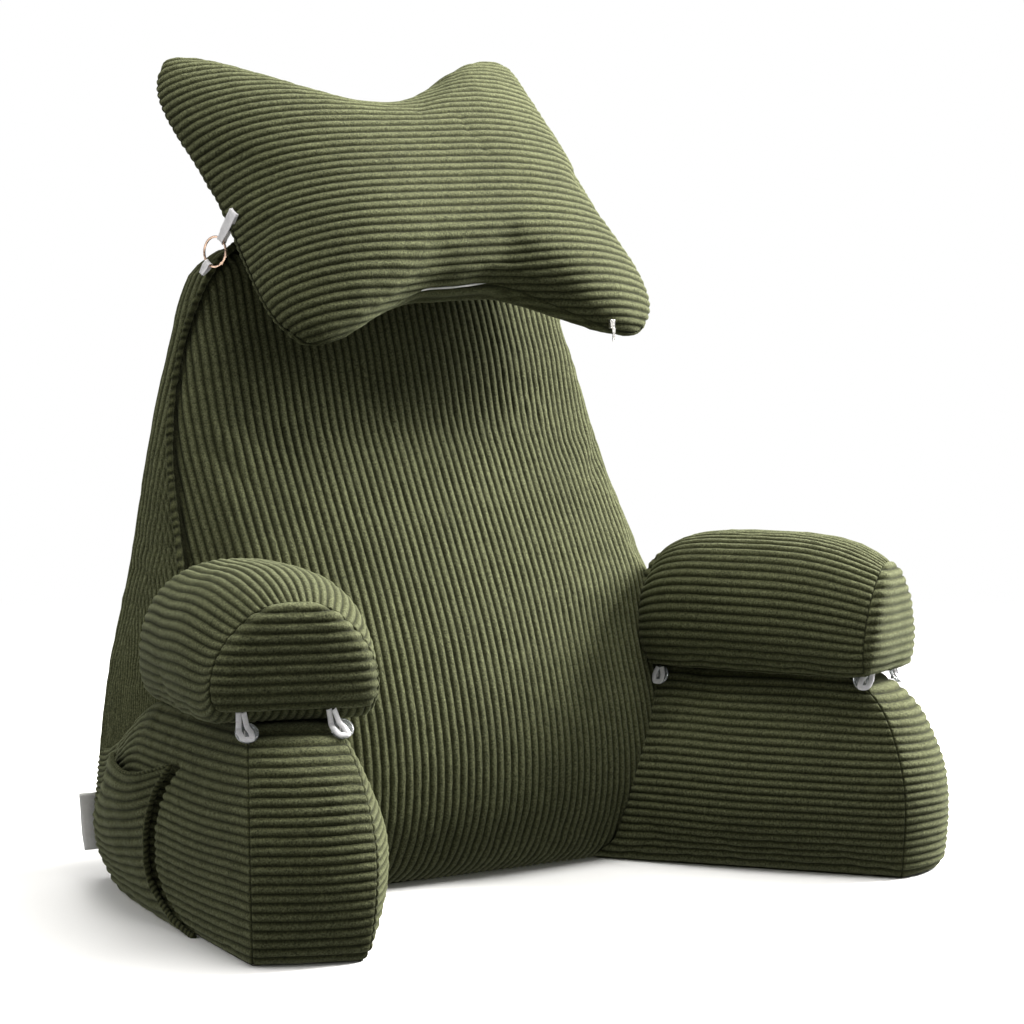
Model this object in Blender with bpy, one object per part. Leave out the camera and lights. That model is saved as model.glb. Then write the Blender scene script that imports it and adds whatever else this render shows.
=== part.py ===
"""Reading pillow with arms, in wide-rib corduroy, built as the cushions and trims it is sewn from.

Metres, +Z up. +X is the viewer's right, the front faces -Y. The origin is the middle of the
backrest's underside, on the surface that the pillow stands on. Each cushion is one filled solid
whose ribs are ridges and grooves in its own points.
"""

from math import atan, cos, pi, radians, sin
from typing import NamedTuple

import bmesh
import bpy
from mathutils import Matrix, Vector

LEFT, RIGHT = -1, 1        # the viewer's left and right, as signs of X

# Gaps, and how deep the grooves between the ribs are.
PIECE_GAP = 0.0003
SEWN_GAP = 0.0011          # an arm's root follows the backrest in chords, so it stands off more
BACKREST_GROOVE = 0.0016
ARM_GROOVE = 0.0014
BOLSTER_GROOVE = 0.0015
HEAD_GROOVE = 0.0016

FRONT_RIBS = 68
SIDE_RIBS = 11
BACK_COLUMNS = 12
SIDE_BULGE = 0.004
BACK_CROWN = 0.012


class BackrestRow(NamedTuple):
    """One level of the backrest."""

    height: float
    half_width: float
    seam_y: float          # where the front panel meets the side
    crown: float           # how far the front panel stands out past its seams
    back_y: float


BACKREST_ROWS = (
    BackrestRow(0.0000, 0.256, -0.086, 0.008, 0.078),
    BackrestRow(0.0216, 0.266, -0.096, 0.030, 0.086),
    BackrestRow(0.1008, 0.276, -0.090, 0.050, 0.089),
    BackrestRow(0.1950, 0.271, -0.060, 0.062, 0.088),
    BackrestRow(0.2950, 0.256, -0.010, 0.070, 0.084),
    BackrestRow(0.4000, 0.239, 0.036, 0.066, 0.079),
    BackrestRow(0.4900, 0.216, 0.050, 0.054, 0.079),
    BackrestRow(0.5500, 0.193, 0.040, 0.022, 0.081),
    BackrestRow(0.5720, 0.164, 0.050, 0.008, 0.076),
)

ARM_RIBS = 25
ARM_TOP = 0.180            # the flat that the bolster rests on
ARM_REAR_DROP = 0.060      # how much lower the arm ends at the back
ARM_DROP_START = -0.085
ARM_DROP_LENGTH = 0.165
ARM_OUTER_STEPS = 7
ARM_FRONT_STEPS = 3
ARM_INNER_STEPS = 5
ARM_ROOT_STEPS = 4
ARM_FLANK_STEPS = 5


class ArmRow(NamedTuple):
    """The viewer's left arm at one share of its height."""

    share: float
    root_turn: float       # the inner face's root: 0 mid front panel, 1 at the side seam
    inner_x: float         # front corner on the inner side
    inner_y: float
    outer_x: float         # front corner on the outer side
    outer_y: float
    rear_x: float          # the outer face's rear end
    rear_y: float
    inner_bulge: float
    outer_bulge: float
    front_bulge: float


ARM_ROWS = (
    ArmRow(0.00, 0.540, -0.294, -0.350, -0.372, -0.312, -0.278, 0.076, 0.000, 0.004, 0.002),
    ArmRow(0.07, 0.545, -0.290, -0.356, -0.376, -0.318, -0.281, 0.082, 0.008, 0.010, 0.006),
    ArmRow(0.45, 0.590, -0.287, -0.360, -0.379, -0.320, -0.289, 0.085, 0.018, 0.016, 0.012),
    ArmRow(0.75, 0.690, -0.287, -0.342, -0.370, -0.304, -0.296, 0.085, 0.014, 0.014, 0.014),
    ArmRow(0.92, 0.760, -0.286, -0.318, -0.358, -0.284, -0.293, 0.082, 0.006, 0.006, 0.010),
    ArmRow(1.00, 0.800, -0.280, -0.294, -0.345, -0.264, -0.288, 0.078, -0.004, -0.004, 0.000),
)

BOLSTER_RIBS = 42
BOLSTER_HALF_LENGTH = 0.128
BOLSTER_SPLAY = radians(17)
BOLSTER_CENTRE = Vector((-0.283, -0.172, ARM_TOP + 2 * PIECE_GAP))
BOLSTER_HALF_WIDTH = 0.078
BOLSTER_HEIGHT = 0.128
BOLSTER_SHOULDER = 0.040   # height of the widest part over the underside
BOLSTER_FOOT = 0.80        # the underside's width as a share of the widest part
BOLSTER_ROUNDNESS = 2.3    # exponent of the section's superellipse
BOLSTER_NARROWING = 0.17   # at the end seams, as a share
BOLSTER_LOWERING = 0.22
BOLSTER_END_LIFT = 0.012   # how far the underside rises at the end seams
BOLSTER_END_BULGE = 0.014
BOLSTER_STATIONS = (-1.0, -0.84, -0.45, 0.0, 0.45, 0.84, 1.0)
BOLSTER_END_COLUMNS = 4
BOLSTER_END_PITCH = 0.0075

HEAD_RIBS = 35
HEAD_COLUMNS = 8
HEAD_CENTRE = Vector((0.0, -0.0074, 0.6216))
HEAD_LEAN = radians(35.5)
HEAD_ROLL = radians(4.0)   # its right end hangs a little higher
HEAD_HALF_WIDTH = 0.203    # at the middle of the side edges
HEAD_HALF_LENGTH = 0.118   # at the waist
HEAD_LOBE_AT = 0.78        # where along the half width the lobes are longest
HEAD_LOBE_END = 0.012      # how much the lobes shorten again at the side edges
HEAD_CORNER = 0.09         # how much the side edges draw in at the corners
HEAD_FRONT_BULGE = 0.056
HEAD_BACK_BULGE = 0.060
HEAD_PLUMPNESS = 0.55      # exponent of the swelling: less is fuller towards the edges

FLANGE_PROUD = 0.0085
FLANGE_THICKNESS = 0.0032
FLANGE_TOP_STEPS = 6

POCKET_REAR = 0.09         # shares of the way along the outer face, rear to front
POCKET_FRONT_ROWS = ((0.0, 0.56), (0.3, 0.66), (0.7, 0.64), (1.0, 0.60))
POCKET_MOUTH_REAR = 0.90   # shares of the arm's height
POCKET_MOUTH_FRONT = 0.78
POCKET_MOUTH_SAG = 0.10
POCKET_FLOOR = 0.03
POCKET_GAPE = 0.013
POCKET_CLOTH = 0.002
POCKET_COLUMNS = 6
POCKET_RIBS = 13

BUTTON_PROFILE = ((0.0016, 0.0), (0.0093, 0.0), (0.0093, 0.0022), (0.0074, 0.0022), (0.0066, 0.0013),
                  (0.0016, 0.0013))    # radius, height
BUTTON_STEPS = 14


class ButtonPlace(NamedTuple):
    """Where a button is sewn on, the way it faces, and where its loop leaves the bolster."""

    name: str
    x: float
    y: float
    z: float
    turn: float            # degrees from the front towards +X
    tilt: float            # degrees up
    rise: float            # the loop's upper end, up the button's face from its middle
    stand: float           # and out from it


BUTTONS = (
    ButtonPlace("left_outer", -0.3550, -0.2789, 0.1750, -25, 40, 0.0091, 0.0170),
    ButtonPlace("left_inner", -0.2860, -0.3090, 0.1765, -25, 40, 0.0091, 0.0150),
    ButtonPlace("left_rear", -0.2129, -0.1078, 0.1698, 72, 22, 0.0072, 0.0045),
    ButtonPlace("right_outer", 0.3550, -0.2789, 0.1750, 25, 40, 0.0091, 0.0170),
    ButtonPlace("right_inner", 0.2860, -0.3090, 0.1765, 25, 40, 0.0091, 0.0150),
    ButtonPlace("right_rear", 0.2127, -0.1078, 0.1698, -72, 22, 0.0072, 0.0045),
)
LOOP_HALF_WIDTH = 0.0051
LOOP_PATH = ((0.0030, 0.0040), (-0.0062, 0.0033))     # rise and stand of its lower points

RING_RADIUS = 0.0135
RING_WIRE = 0.0011
RING_STEPS = 24
RING_WIRE_STEPS = 6
RIBBON_THICKNESS = 0.0012


class RingPlace(NamedTuple):
    """A ring at a top corner of the backrest, and the far ends of its two ribbons."""

    side: int
    centre: Vector
    axis: Vector
    pillow_end: Vector
    backrest_end: Vector


RINGS = (
    RingPlace(LEFT, Vector((-0.2000, 0.0242, 0.5666)), Vector((0.970, 0.242, 0.0)),
              Vector((-0.2072, -0.0130, 0.6035)), Vector((-0.2052, 0.0391, 0.5470))),
    RingPlace(RIGHT, Vector((0.2060, 0.0174, 0.5735)), Vector((-0.970, 0.242, 0.0)),
              Vector((0.2091, -0.0212, 0.6206)), Vector((0.2045, 0.0391, 0.5470))),
)

ZIP_PULL = (Vector((0.1520, -0.1103, 0.5045)), Vector((0.1520, -0.1108, 0.4905)))
ZIP_PULL_HALF_WIDTH = 0.0017
LABEL = (Vector((-0.2945, 0.0865, 0.0880)), Vector((-0.2890, 0.0865, 0.0360)))
LABEL_HALF_WIDTH = 0.0125
LABEL_THICKNESS = 0.0010

HEAD_LOBES = {             # half width and half length through each corner: (across, up)
    (-1, 1): (0.222, 0.178),
    (1, 1): (0.209, 0.162),
    (-1, -1): (0.219, 0.160),
    (1, -1): (0.222, 0.170),
}

# Colour, roughness and metallic value.
CORDUROY = ((0.098, 0.104, 0.050), 0.9, 0.0)
RIBBON = ((0.80, 0.78, 0.76), 0.7, 0.0)
LABEL_TAPE = ((0.80, 0.78, 0.74), 0.8, 0.0)
ROSE_GOLD = ((0.80, 0.55, 0.42), 0.25, 1.0)
PLATED_STEEL = ((0.75, 0.72, 0.68), 0.3, 1.0)
CLEAR_PLASTIC = ((0.75, 0.77, 0.78), 0.15, 0.0)
CLEAR_ALPHA = 0.5


def lerp(a, b, share):
    """Number or vector a share of the way from a to b."""
    return a + (b - a) * share


def ease(share):
    """0 to 1 with level ends."""
    share = min(max(share, 0.0), 1.0)
    return share * share * (3 - 2 * share)


def row_at(rows, key, smooth=True):
    """The row at key: each column on a curve, or in straight lines, between the table's rows."""
    index = next((i for i in range(len(rows) - 2) if key <= rows[i + 1][0]), len(rows) - 2)
    low, high = rows[index], rows[index + 1]
    step = high[0] - low[0]
    s = (key - low[0]) / step
    if not smooth:
        return type(low)(*(lerp(p, q, s) for p, q in zip(low, high)))
    before, after = rows[max(index - 1, 0)], rows[min(index + 2, len(rows) - 1)]
    columns = []
    for a, p, q, b in zip(before, low, high, after):
        slope_in = (q - a) / (high[0] - before[0]) * step
        slope_out = (b - p) / (after[0] - low[0]) * step
        columns.append(lerp(p, q, ease(s)) + s * (1 - s) ** 2 * slope_in - s * s * (1 - s) * slope_out)
    return type(low)(*columns)


def new_object(name, points, faces, material):
    """Mesh object from points and faces, in its own material."""
    mesh = bpy.data.meshes.new(name)
    mesh.from_pydata([tuple(point) for point in points], [], faces)
    mesh.materials.append(material)
    mesh.update()
    item = bpy.data.objects.new(name, mesh)
    bpy.context.scene.collection.objects.link(item)
    return item


def new_material(name, colour, roughness, metallic, alpha=1.0):
    """Principled material."""
    material = bpy.data.materials.new(name)
    material.use_nodes = True
    shader = material.node_tree.nodes["Principled BSDF"]
    shader.inputs["Base Color"].default_value = (*colour, 1.0)
    shader.inputs["Roughness"].default_value = roughness
    shader.inputs["Metallic"].default_value = metallic
    shader.inputs["Alpha"].default_value = alpha
    return material


def skin(rings):
    """Points and side faces of a stack of rings, each counter-clockwise about the way up the stack."""
    count = len(rings[0])
    points = [point for ring in rings for point in ring]
    faces = []
    for level in range(len(rings) - 1):
        for i in range(count):
            j = (i + 1) % count
            low, high = level * count, (level + 1) * count
            faces.append((low + i, low + j, high + j, high + i))
    return points, faces


def mirrored(points, faces, side):
    """A shape modelled on the viewer's left, as it is there or turned over for the right."""
    if side == LEFT:
        return points, faces
    return [Vector((-p[0], p[1], p[2])) for p in points], [tuple(reversed(face)) for face in faces]


def side_name(side):
    """The end of a node's name."""
    return "left" if side == LEFT else "right"


# ---- backrest -------------------------------------------------------------------------------


def front_point(row, turn):
    """Point and outward normal on the front panel: turn is -1 and 1 at its two side seams."""
    half_angle = 2 * atan(row.crown / row.half_width)
    angle = turn * half_angle
    x = row.half_width * sin(angle) / sin(half_angle)
    y = row.seam_y - row.crown * (cos(angle) - cos(half_angle)) / (1 - cos(half_angle))
    return Vector((x, y, row.height)), Vector((sin(angle), -cos(angle), 0))


def flank_point(row, share, side):
    """Point and outward normal on a side panel, from the front seam, 0, to the back, 1."""
    x = row.half_width + SIDE_BULGE * sin(pi * share)
    return Vector((side * x, lerp(row.seam_y, row.back_y, share), row.height)), Vector((side, 0, 0))


def backrest_ring(row):
    """One level of the backrest, from the viewer's left front seam round by the right."""
    ring = []
    for i in range(2 * FRONT_RIBS + 1):
        point, normal = front_point(row, i / FRONT_RIBS - 1)
        ring.append(point if i % 2 else point - normal * BACKREST_GROOVE)
    for i in range(1, 2 * SIDE_RIBS):
        point, normal = flank_point(row, i / (2 * SIDE_RIBS), RIGHT)
        ring.append(point if i % 2 else point - normal * BACKREST_GROOVE)
    for i in range(BACK_COLUMNS + 1):
        share = i / BACK_COLUMNS
        y = row.back_y + BACK_CROWN * sin(pi * share) ** 0.7
        ring.append(Vector((lerp(row.half_width, -row.half_width, share), y, row.height)))
    for i in range(2 * SIDE_RIBS - 1, 0, -1):
        point, normal = flank_point(row, i / (2 * SIDE_RIBS), LEFT)
        ring.append(point if i % 2 else point - normal * BACKREST_GROOVE)
    return ring


def make_backrest(material):
    """The backrest: crowned front panel, two side panels and the back, flat underneath."""
    points, faces = skin([backrest_ring(row) for row in BACKREST_ROWS])
    count = len(points) // len(BACKREST_ROWS)
    faces.append(tuple(reversed(range(count))))
    faces.append(tuple(range(len(points) - count, len(points))))
    return new_object("backrest", points, faces, material)


# ---- arms -----------------------------------------------------------------------------------


def arm_height(y):
    """Height of the arm's top over a place along it."""
    return ARM_TOP - ARM_REAR_DROP * ease((y - ARM_DROP_START) / ARM_DROP_LENGTH)


def bowed(start, end, share, bulge):
    """Point on a side that bulges to the right of the way from start to end, and that way's normal."""
    normal = Vector((end.y - start.y, start.x - end.x)).normalized()
    return lerp(start, end, share) + normal * (bulge * sin(pi * share) ** 0.8), normal


def arm_plan(share, groove):
    """Plan of the viewer's left arm at a share of its height, counter-clockwise from its outer rear."""
    row = row_at(ARM_ROWS, share)
    rear = Vector((row.rear_x, row.rear_y))
    outer = Vector((row.outer_x, row.outer_y))
    inner = Vector((row.inner_x, row.inner_y))
    root = root_point(-row.root_turn, share * arm_height(ARM_DROP_START))
    plan = []
    for start, end, steps, bulge in ((rear, outer, ARM_OUTER_STEPS, row.outer_bulge),
                                     (outer, inner, ARM_FRONT_STEPS, row.front_bulge),
                                     (inner, root.xy, ARM_INNER_STEPS, row.inner_bulge)):
        for i in range(steps):
            point, normal = bowed(start, end, i / steps, bulge)
            plan.append(point - normal * groove)
    return plan, row.root_turn


def root_point(turn, height):
    """Point just off the backrest's front panel, where an arm is sewn to it."""
    row = row_at(BACKREST_ROWS, height, smooth=False)
    point, normal = front_point(row, turn)
    return point + normal * SEWN_GAP


def arm_ring(share, groove):
    """One level of the viewer's left arm."""
    plan, root_turn = arm_plan(share, groove)
    ring = [Vector((*point, share * arm_height(point.y))) for point in plan]
    top = share * arm_height(ARM_DROP_START)
    for i in range(ARM_ROOT_STEPS):
        ring.append(root_point(-lerp(root_turn, 1.0, i / ARM_ROOT_STEPS), top))
    for i in range(ARM_FLANK_STEPS + 1):
        along = i / ARM_FLANK_STEPS * 0.96
        guess = row_at(BACKREST_ROWS, top, smooth=False)
        height = share * arm_height(lerp(guess.seam_y, guess.back_y, along))
        row = row_at(BACKREST_ROWS, height, smooth=False)
        point, normal = flank_point(row, along, LEFT)
        corner = Vector((0, -SEWN_GAP, 0)) if i == 0 else Vector((0, 0, 0))
        ring.append(point + normal * SEWN_GAP + corner)
    return ring


def make_arm(side, material):
    """An arm: a splayed, filled wall with ribs along it and a flat top under its bolster."""
    levels = 2 * ARM_RIBS
    rings = [arm_ring(i / levels, 0.0 if i % 2 else ARM_GROOVE) for i in range(levels + 1)]
    points, faces = skin(rings)
    count = len(rings[0])
    faces.append(tuple(reversed(range(count))))
    top = levels * count
    split = next(i for i, point in enumerate(rings[-1]) if point.y < ARM_DROP_START)
    root = ARM_OUTER_STEPS + ARM_FRONT_STEPS + ARM_INNER_STEPS
    faces.append(tuple(top + i for i in range(split, root + 1)))
    faces.append(tuple(top + i for i in (*range(root, count), *range(split + 1))))
    points, faces = mirrored(points, faces, side)
    return new_object(f"arm_{side_name(side)}", points, faces, material)


# ---- bolsters -------------------------------------------------------------------------------


def resampled(path, count):
    """Count + 1 points at even steps along a path."""
    reach = [0.0]
    for a, b in zip(path, path[1:]):
        reach.append(reach[-1] + (b - a).length)
    points, leg = [], 0
    for i in range(count + 1):
        goal = reach[-1] * i / count
        while leg < len(path) - 2 and reach[leg + 1] < goal:
            leg += 1
        points.append(lerp(path[leg], path[leg + 1], (goal - reach[leg]) / (reach[leg + 1] - reach[leg])))
    return points


def bolster_profile():
    """Half-round section from the inner foot over the top to the outer one: across, and height."""
    fine = 24
    power = 2 / BOLSTER_ROUNDNESS
    quarter = []
    for i in range(fine):
        turn = pi / 2 * i / fine
        quarter.append(Vector((lerp(BOLSTER_FOOT, 1, sin(turn)), 1 - cos(turn))))
    path = [Vector((p.x * BOLSTER_HALF_WIDTH, p.y * BOLSTER_SHOULDER)) for p in quarter]
    rise = BOLSTER_HEIGHT - BOLSTER_SHOULDER
    for i in range(fine + 1):
        turn = pi / 2 * i / fine
        path.append(Vector((BOLSTER_HALF_WIDTH * cos(turn) ** power,
                            BOLSTER_SHOULDER + rise * sin(turn) ** power)))
    path += [Vector((-p.x, p.y)) for p in reversed(path[:-1])]
    return resampled(path, 2 * BOLSTER_RIBS)


def grooved(path, depth):
    """An open path with every second point, from the first, set in by the groove's depth."""
    points = []
    for i, point in enumerate(path):
        ahead, behind = path[min(i + 1, len(path) - 1)], path[max(i - 1, 0)]
        way = (ahead - behind).normalized()
        points.append(point if i % 2 else point - Vector((way.y, -way.x)) * depth)
    points[0].y = points[-1].y = 0.0
    return points


def bolster_frame():
    """Unit vectors of the viewer's left bolster: towards its front end, and across, inwards."""
    along = Vector((-sin(BOLSTER_SPLAY), -cos(BOLSTER_SPLAY), 0))
    return along, Vector((-along.y, along.x, 0))


def bolster_ring(station, profile):
    """One section of the viewer's left bolster."""
    along, across = bolster_frame()
    narrowing = 1 - BOLSTER_NARROWING * abs(station) ** 3.5
    lowering = 1 - BOLSTER_LOWERING * abs(station) ** 3.5
    lift = BOLSTER_END_LIFT * abs(station) ** 12
    centre = BOLSTER_CENTRE + along * (BOLSTER_HALF_LENGTH * station)
    ring = []
    for p in profile:
        rise = lift + p.y * (lowering - lift / BOLSTER_HEIGHT)
        ring.append(centre + across * (p.x * narrowing) + Vector((0, 0, rise)))
    for i in range(1, BOLSTER_END_COLUMNS):
        ring.append(lerp(ring[len(profile) - 1], ring[0], i / BOLSTER_END_COLUMNS))
    return ring


def wave(phase):
    """0 on a ridge, 1 in a groove, straight between; one ridge to each whole phase."""
    return abs(2 * (phase % 1) - 1)


def bolster_end(ring, first, points, faces, station):
    """Close one end of a bolster with a crowned panel whose ribs lie level."""
    along, _ = bolster_frame()
    last = 2 * BOLSTER_RIBS
    bottom = [first + last + i for i in range(BOLSTER_END_COLUMNS)] + [first]
    rows = [list(reversed(bottom))]
    height = ring[BOLSTER_RIBS].z - ring[0].z
    for i in range(1, BOLSTER_RIBS):
        inner, outer = ring[i], ring[last - i]
        rise = inner.z - ring[0].z
        row = [first + i]
        for k in range(1, BOLSTER_END_COLUMNS):
            across = k / BOLSTER_END_COLUMNS
            swell = (1 - (2 * across - 1) ** 2) * sin(pi * min(rise / height, 1.0))
            bulge = BOLSTER_END_BULGE * max(swell, 0.0) ** 0.5
            groove = BOLSTER_GROOVE * wave(rise / BOLSTER_END_PITCH)
            row.append(len(points))
            points.append(lerp(inner, outer, across) + along * (station * (bulge - groove)))
        row.append(first + last - i)
        rows.append(row)
    top = first + BOLSTER_RIBS
    panels = []
    for low, high in zip(rows, rows[1:]):
        for k in range(BOLSTER_END_COLUMNS):
            panels.append((low[k], high[k], high[k + 1], low[k + 1]))
    for k in range(BOLSTER_END_COLUMNS):
        panels.append((rows[-1][k], top, rows[-1][k + 1]))
    faces += panels if station > 0 else [tuple(reversed(panel)) for panel in panels]


def clear_of_backrest(point):
    """A bolster's point, slid forwards off the backrest's front panel where it would reach into it."""
    along, _ = bolster_frame()
    row = row_at(BACKREST_ROWS, point.z, smooth=False)
    corner, normal = front_point(row, -1)
    reach = (corner + normal * SEWN_GAP - point).dot(normal)
    return point + along * max(0.0, reach / along.dot(normal))


def make_bolster(side, material):
    """A bolster: a half-round roll lying on its arm."""
    profile = grooved(bolster_profile(), BOLSTER_GROOVE)
    rings = [bolster_ring(station, profile) for station in BOLSTER_STATIONS]
    points, faces = skin(rings)
    bolster_end(rings[0], 0, points, faces, -1)
    bolster_end(rings[-1], len(rings[0]) * (len(rings) - 1), points, faces, 1)
    points = [clear_of_backrest(point) for point in points]
    points, faces = mirrored(points, faces, side)
    return new_object(f"bolster_{side_name(side)}", points, faces, material)


# ---- head pillow ----------------------------------------------------------------------------


def head_frame():
    """Unit vectors of the head pillow: across, up along it, and out of its front."""
    roll = Matrix.Rotation(-HEAD_ROLL, 3, "Y")
    across = roll @ Vector((1, 0, 0))
    up = roll @ Vector((0, sin(HEAD_LEAN), cos(HEAD_LEAN)))
    return across, up, across.cross(up)


def head_outline(across, up):
    """Place in the pillow's own plane: across and up are -1 to 1 between its edges."""
    lobe_width, lobe_length = HEAD_LOBES[1 if across > 0 else -1, 1 if up > 0 else -1]
    past = max(0.0, (abs(across) - HEAD_LOBE_AT) / (1 - HEAD_LOBE_AT))
    half_width = lerp(HEAD_HALF_WIDTH, lobe_width, ease(abs(up) / HEAD_LOBE_AT))
    half_length = lerp(HEAD_HALF_LENGTH, lobe_length, ease(abs(across) / HEAD_LOBE_AT))
    return (across * half_width * (1 - HEAD_CORNER * abs(up) ** 10),
            up * (half_length - HEAD_LOBE_END * past * past))


def head_point(across, up, face, groove):
    """Point on the head pillow's front, face 1, or back, face -1."""
    axis_across, axis_up, axis_out = head_frame()
    x, y = head_outline(across, up)
    fullness = ((1 - abs(across) ** 2.2) * (1 - abs(up) ** 2.2)) ** HEAD_PLUMPNESS
    bulge = (HEAD_FRONT_BULGE if face > 0 else HEAD_BACK_BULGE) * fullness
    out = face * (bulge - groove * min(1.0, 4 * fullness))
    return HEAD_CENTRE + axis_across * x + axis_up * y + axis_out * out


def make_head_pillow(material):
    """The head pillow: two ribbed faces that meet in one seam all round."""
    rows = 2 * HEAD_RIBS
    points, faces = [], []
    grids = {}
    for face in (1, -1):
        grid = []
        for j in range(rows + 1):
            up = 2 * j / rows - 1
            line = []
            for k in range(HEAD_COLUMNS + 1):
                across = sin(pi * (k / HEAD_COLUMNS - 0.5))
                edge = j in (0, rows) or k in (0, HEAD_COLUMNS)
                if edge and face < 0:
                    line.append(grids[1][j][k])
                    continue
                line.append(len(points))
                points.append(head_point(across, up, face, 0.0 if j % 2 or edge else HEAD_GROOVE))
            grid.append(line)
        grids[face] = grid
        for low, high in zip(grid, grid[1:]):
            for k in range(HEAD_COLUMNS):
                quad = (low[k], low[k + 1], high[k + 1], high[k])
                faces.append(quad if face > 0 else tuple(reversed(quad)))
    return new_object("head_pillow", points, faces, material)


# ---- trims ----------------------------------------------------------------------------------


def band(name, path, half_widths, thickness, material):
    """A flat strip along a path of (point, direction across the strip)."""
    rings = []
    for i, ((point, across), half_width) in enumerate(zip(path, half_widths)):
        way = path[min(i + 1, len(path) - 1)][0] - path[max(i - 1, 0)][0]
        side, rise = across * half_width, across.cross(way).normalized() * (thickness / 2)
        rings.append([point - side - rise, point + side - rise, point + side + rise, point - side + rise])
    points, faces = skin(rings)
    faces.append((3, 2, 1, 0))
    faces.append(tuple(len(points) - 4 + i for i in range(4)))
    return oriented(new_object(name, points, faces, material))


def oriented(item):
    """Turn every face outwards."""
    mesh = bmesh.new()
    mesh.from_mesh(item.data)
    bmesh.ops.recalc_face_normals(mesh, faces=mesh.faces)
    mesh.to_mesh(item.data)
    mesh.free()
    return item


def make_flange(material):
    """Proud seam allowance up one front edge of the backrest, over its top and down the other."""
    path = []
    rows = BACKREST_ROWS[4:]
    top = rows[-1]
    up = Vector((0, 0, 1))
    for row in rows:
        point, normal = front_point(row, -1)
        out = (normal + Vector((-1, 0, 0)) + (up if row is top else Vector((0, 0, 0)))).normalized()
        path.append((point, out))
    for i in range(1, FLANGE_TOP_STEPS):
        point, normal = front_point(top, 2 * i / FLANGE_TOP_STEPS - 1)
        path.append((point, (normal + up).normalized()))
    path += [(Vector((-p.x, p.y, p.z)), Vector((-o.x, o.y, o.z))) for p, o in reversed(path[:len(rows)])]
    strip = [(point + out * (FLANGE_PROUD / 2 + 4 * PIECE_GAP), out) for point, out in path]
    return band("seam_flange", strip, [FLANGE_PROUD / 2] * len(strip), FLANGE_THICKNESS, material)


def arm_outer_point(along, share):
    """Point and outward normal on the viewer's left arm's outer face, rear 0 to front 1."""
    row = row_at(ARM_ROWS, share)
    rear, outer = Vector((row.rear_x, row.rear_y)), Vector((row.outer_x, row.outer_y))
    point, normal = bowed(rear, outer, along, row.outer_bulge)
    return Vector((*point, share * arm_height(point.y))), Vector((*normal, 0))


def pocket_front(rise):
    """How far forward the pocket's sewn front edge lies, at a share of the pocket's height."""
    for (low, a), (high, b) in zip(POCKET_FRONT_ROWS, POCKET_FRONT_ROWS[1:]):
        if rise <= high:
            return lerp(a, b, ease((rise - low) / (high - low)))
    return POCKET_FRONT_ROWS[-1][1]


def make_pocket(material):
    """Patch pocket, sewn down at the rear, foot and front, standing open at its sagging mouth."""
    rows = 2 * POCKET_RIBS
    points, faces = [], []
    for layer in (0, 1):
        for j in range(rows + 1):
            rise = j / rows
            for k in range(POCKET_COLUMNS + 1):
                width = k / POCKET_COLUMNS
                along = lerp(POCKET_REAR, pocket_front(rise), width)
                mouth = lerp(POCKET_MOUTH_REAR, POCKET_MOUTH_FRONT, width)
                mouth -= POCKET_MOUTH_SAG * sin(pi * width)
                point, normal = arm_outer_point(along, lerp(POCKET_FLOOR, mouth, rise))
                stand = PIECE_GAP * 3 + POCKET_GAPE * sin(pi * width) * rise ** 1.2
                groove = 0.0 if j % 2 or not layer else 0.4 * ARM_GROOVE
                points.append(point + normal * (stand + layer * POCKET_CLOTH - groove))
    columns = POCKET_COLUMNS + 1
    back = columns * (rows + 1)
    for j in range(rows):
        for k in range(POCKET_COLUMNS):
            a = j * columns + k
            quad = (a, a + 1, a + 1 + columns, a + columns)
            faces.append(quad)
            faces.append(tuple(back + i for i in reversed(quad)))
    rim = [*range(columns), *(j * columns + POCKET_COLUMNS for j in range(1, rows + 1)),
           *(rows * columns + k for k in range(POCKET_COLUMNS - 1, -1, -1)),
           *(j * columns for j in range(rows - 1, 0, -1))]
    for i, a in enumerate(rim):
        b = rim[(i + 1) % len(rim)]
        faces.append((b, a, back + a, back + b))
    return oriented(new_object("pocket", points, faces, material))


def turned(name, profile, centre, out, steps, material):
    """A closed profile of (radius, height) turned round an axis."""
    across, down = facing_axes(out)
    count = len(profile)
    points, faces = [], []
    for i in range(steps):
        turn = 2 * pi * i / steps
        way = across * cos(turn) + down * sin(turn)
        points += [centre + way * radius + out * height for radius, height in profile]
        for k in range(count):
            a, b = i * count, (i + 1) % steps * count
            faces.append((a + k, b + k, b + (k + 1) % count, a + (k + 1) % count))
    return oriented(new_object(name, points, faces, material))


def facing_axes(out):
    """Level and downward unit vectors square to a facing direction."""
    across = Vector((-out.y, out.x, 0)).normalized()
    return across, across.cross(out)


def make_button(place, button_material, loop_material):
    """A clear button on an arm, and the ribbon loop that comes down to it from the bolster."""
    turn, tilt = radians(place.turn), radians(place.tilt)
    out = Vector((sin(turn) * cos(tilt), -cos(turn) * cos(tilt), sin(tilt)))
    centre = Vector((place.x, place.y, place.z))
    turned(f"button_{place.name}", BUTTON_PROFILE, centre, out, BUTTON_STEPS, button_material)
    across, down = facing_axes(out)
    drop = ((place.rise, place.stand), *LOOP_PATH)
    path = [(centre - down * rise + out * stand, across) for rise, stand in drop]
    widths = (LOOP_HALF_WIDTH, LOOP_HALF_WIDTH, 0.7 * LOOP_HALF_WIDTH)
    band(f"loop_{place.name}", path, widths, RIBBON_THICKNESS, loop_material)


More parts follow.
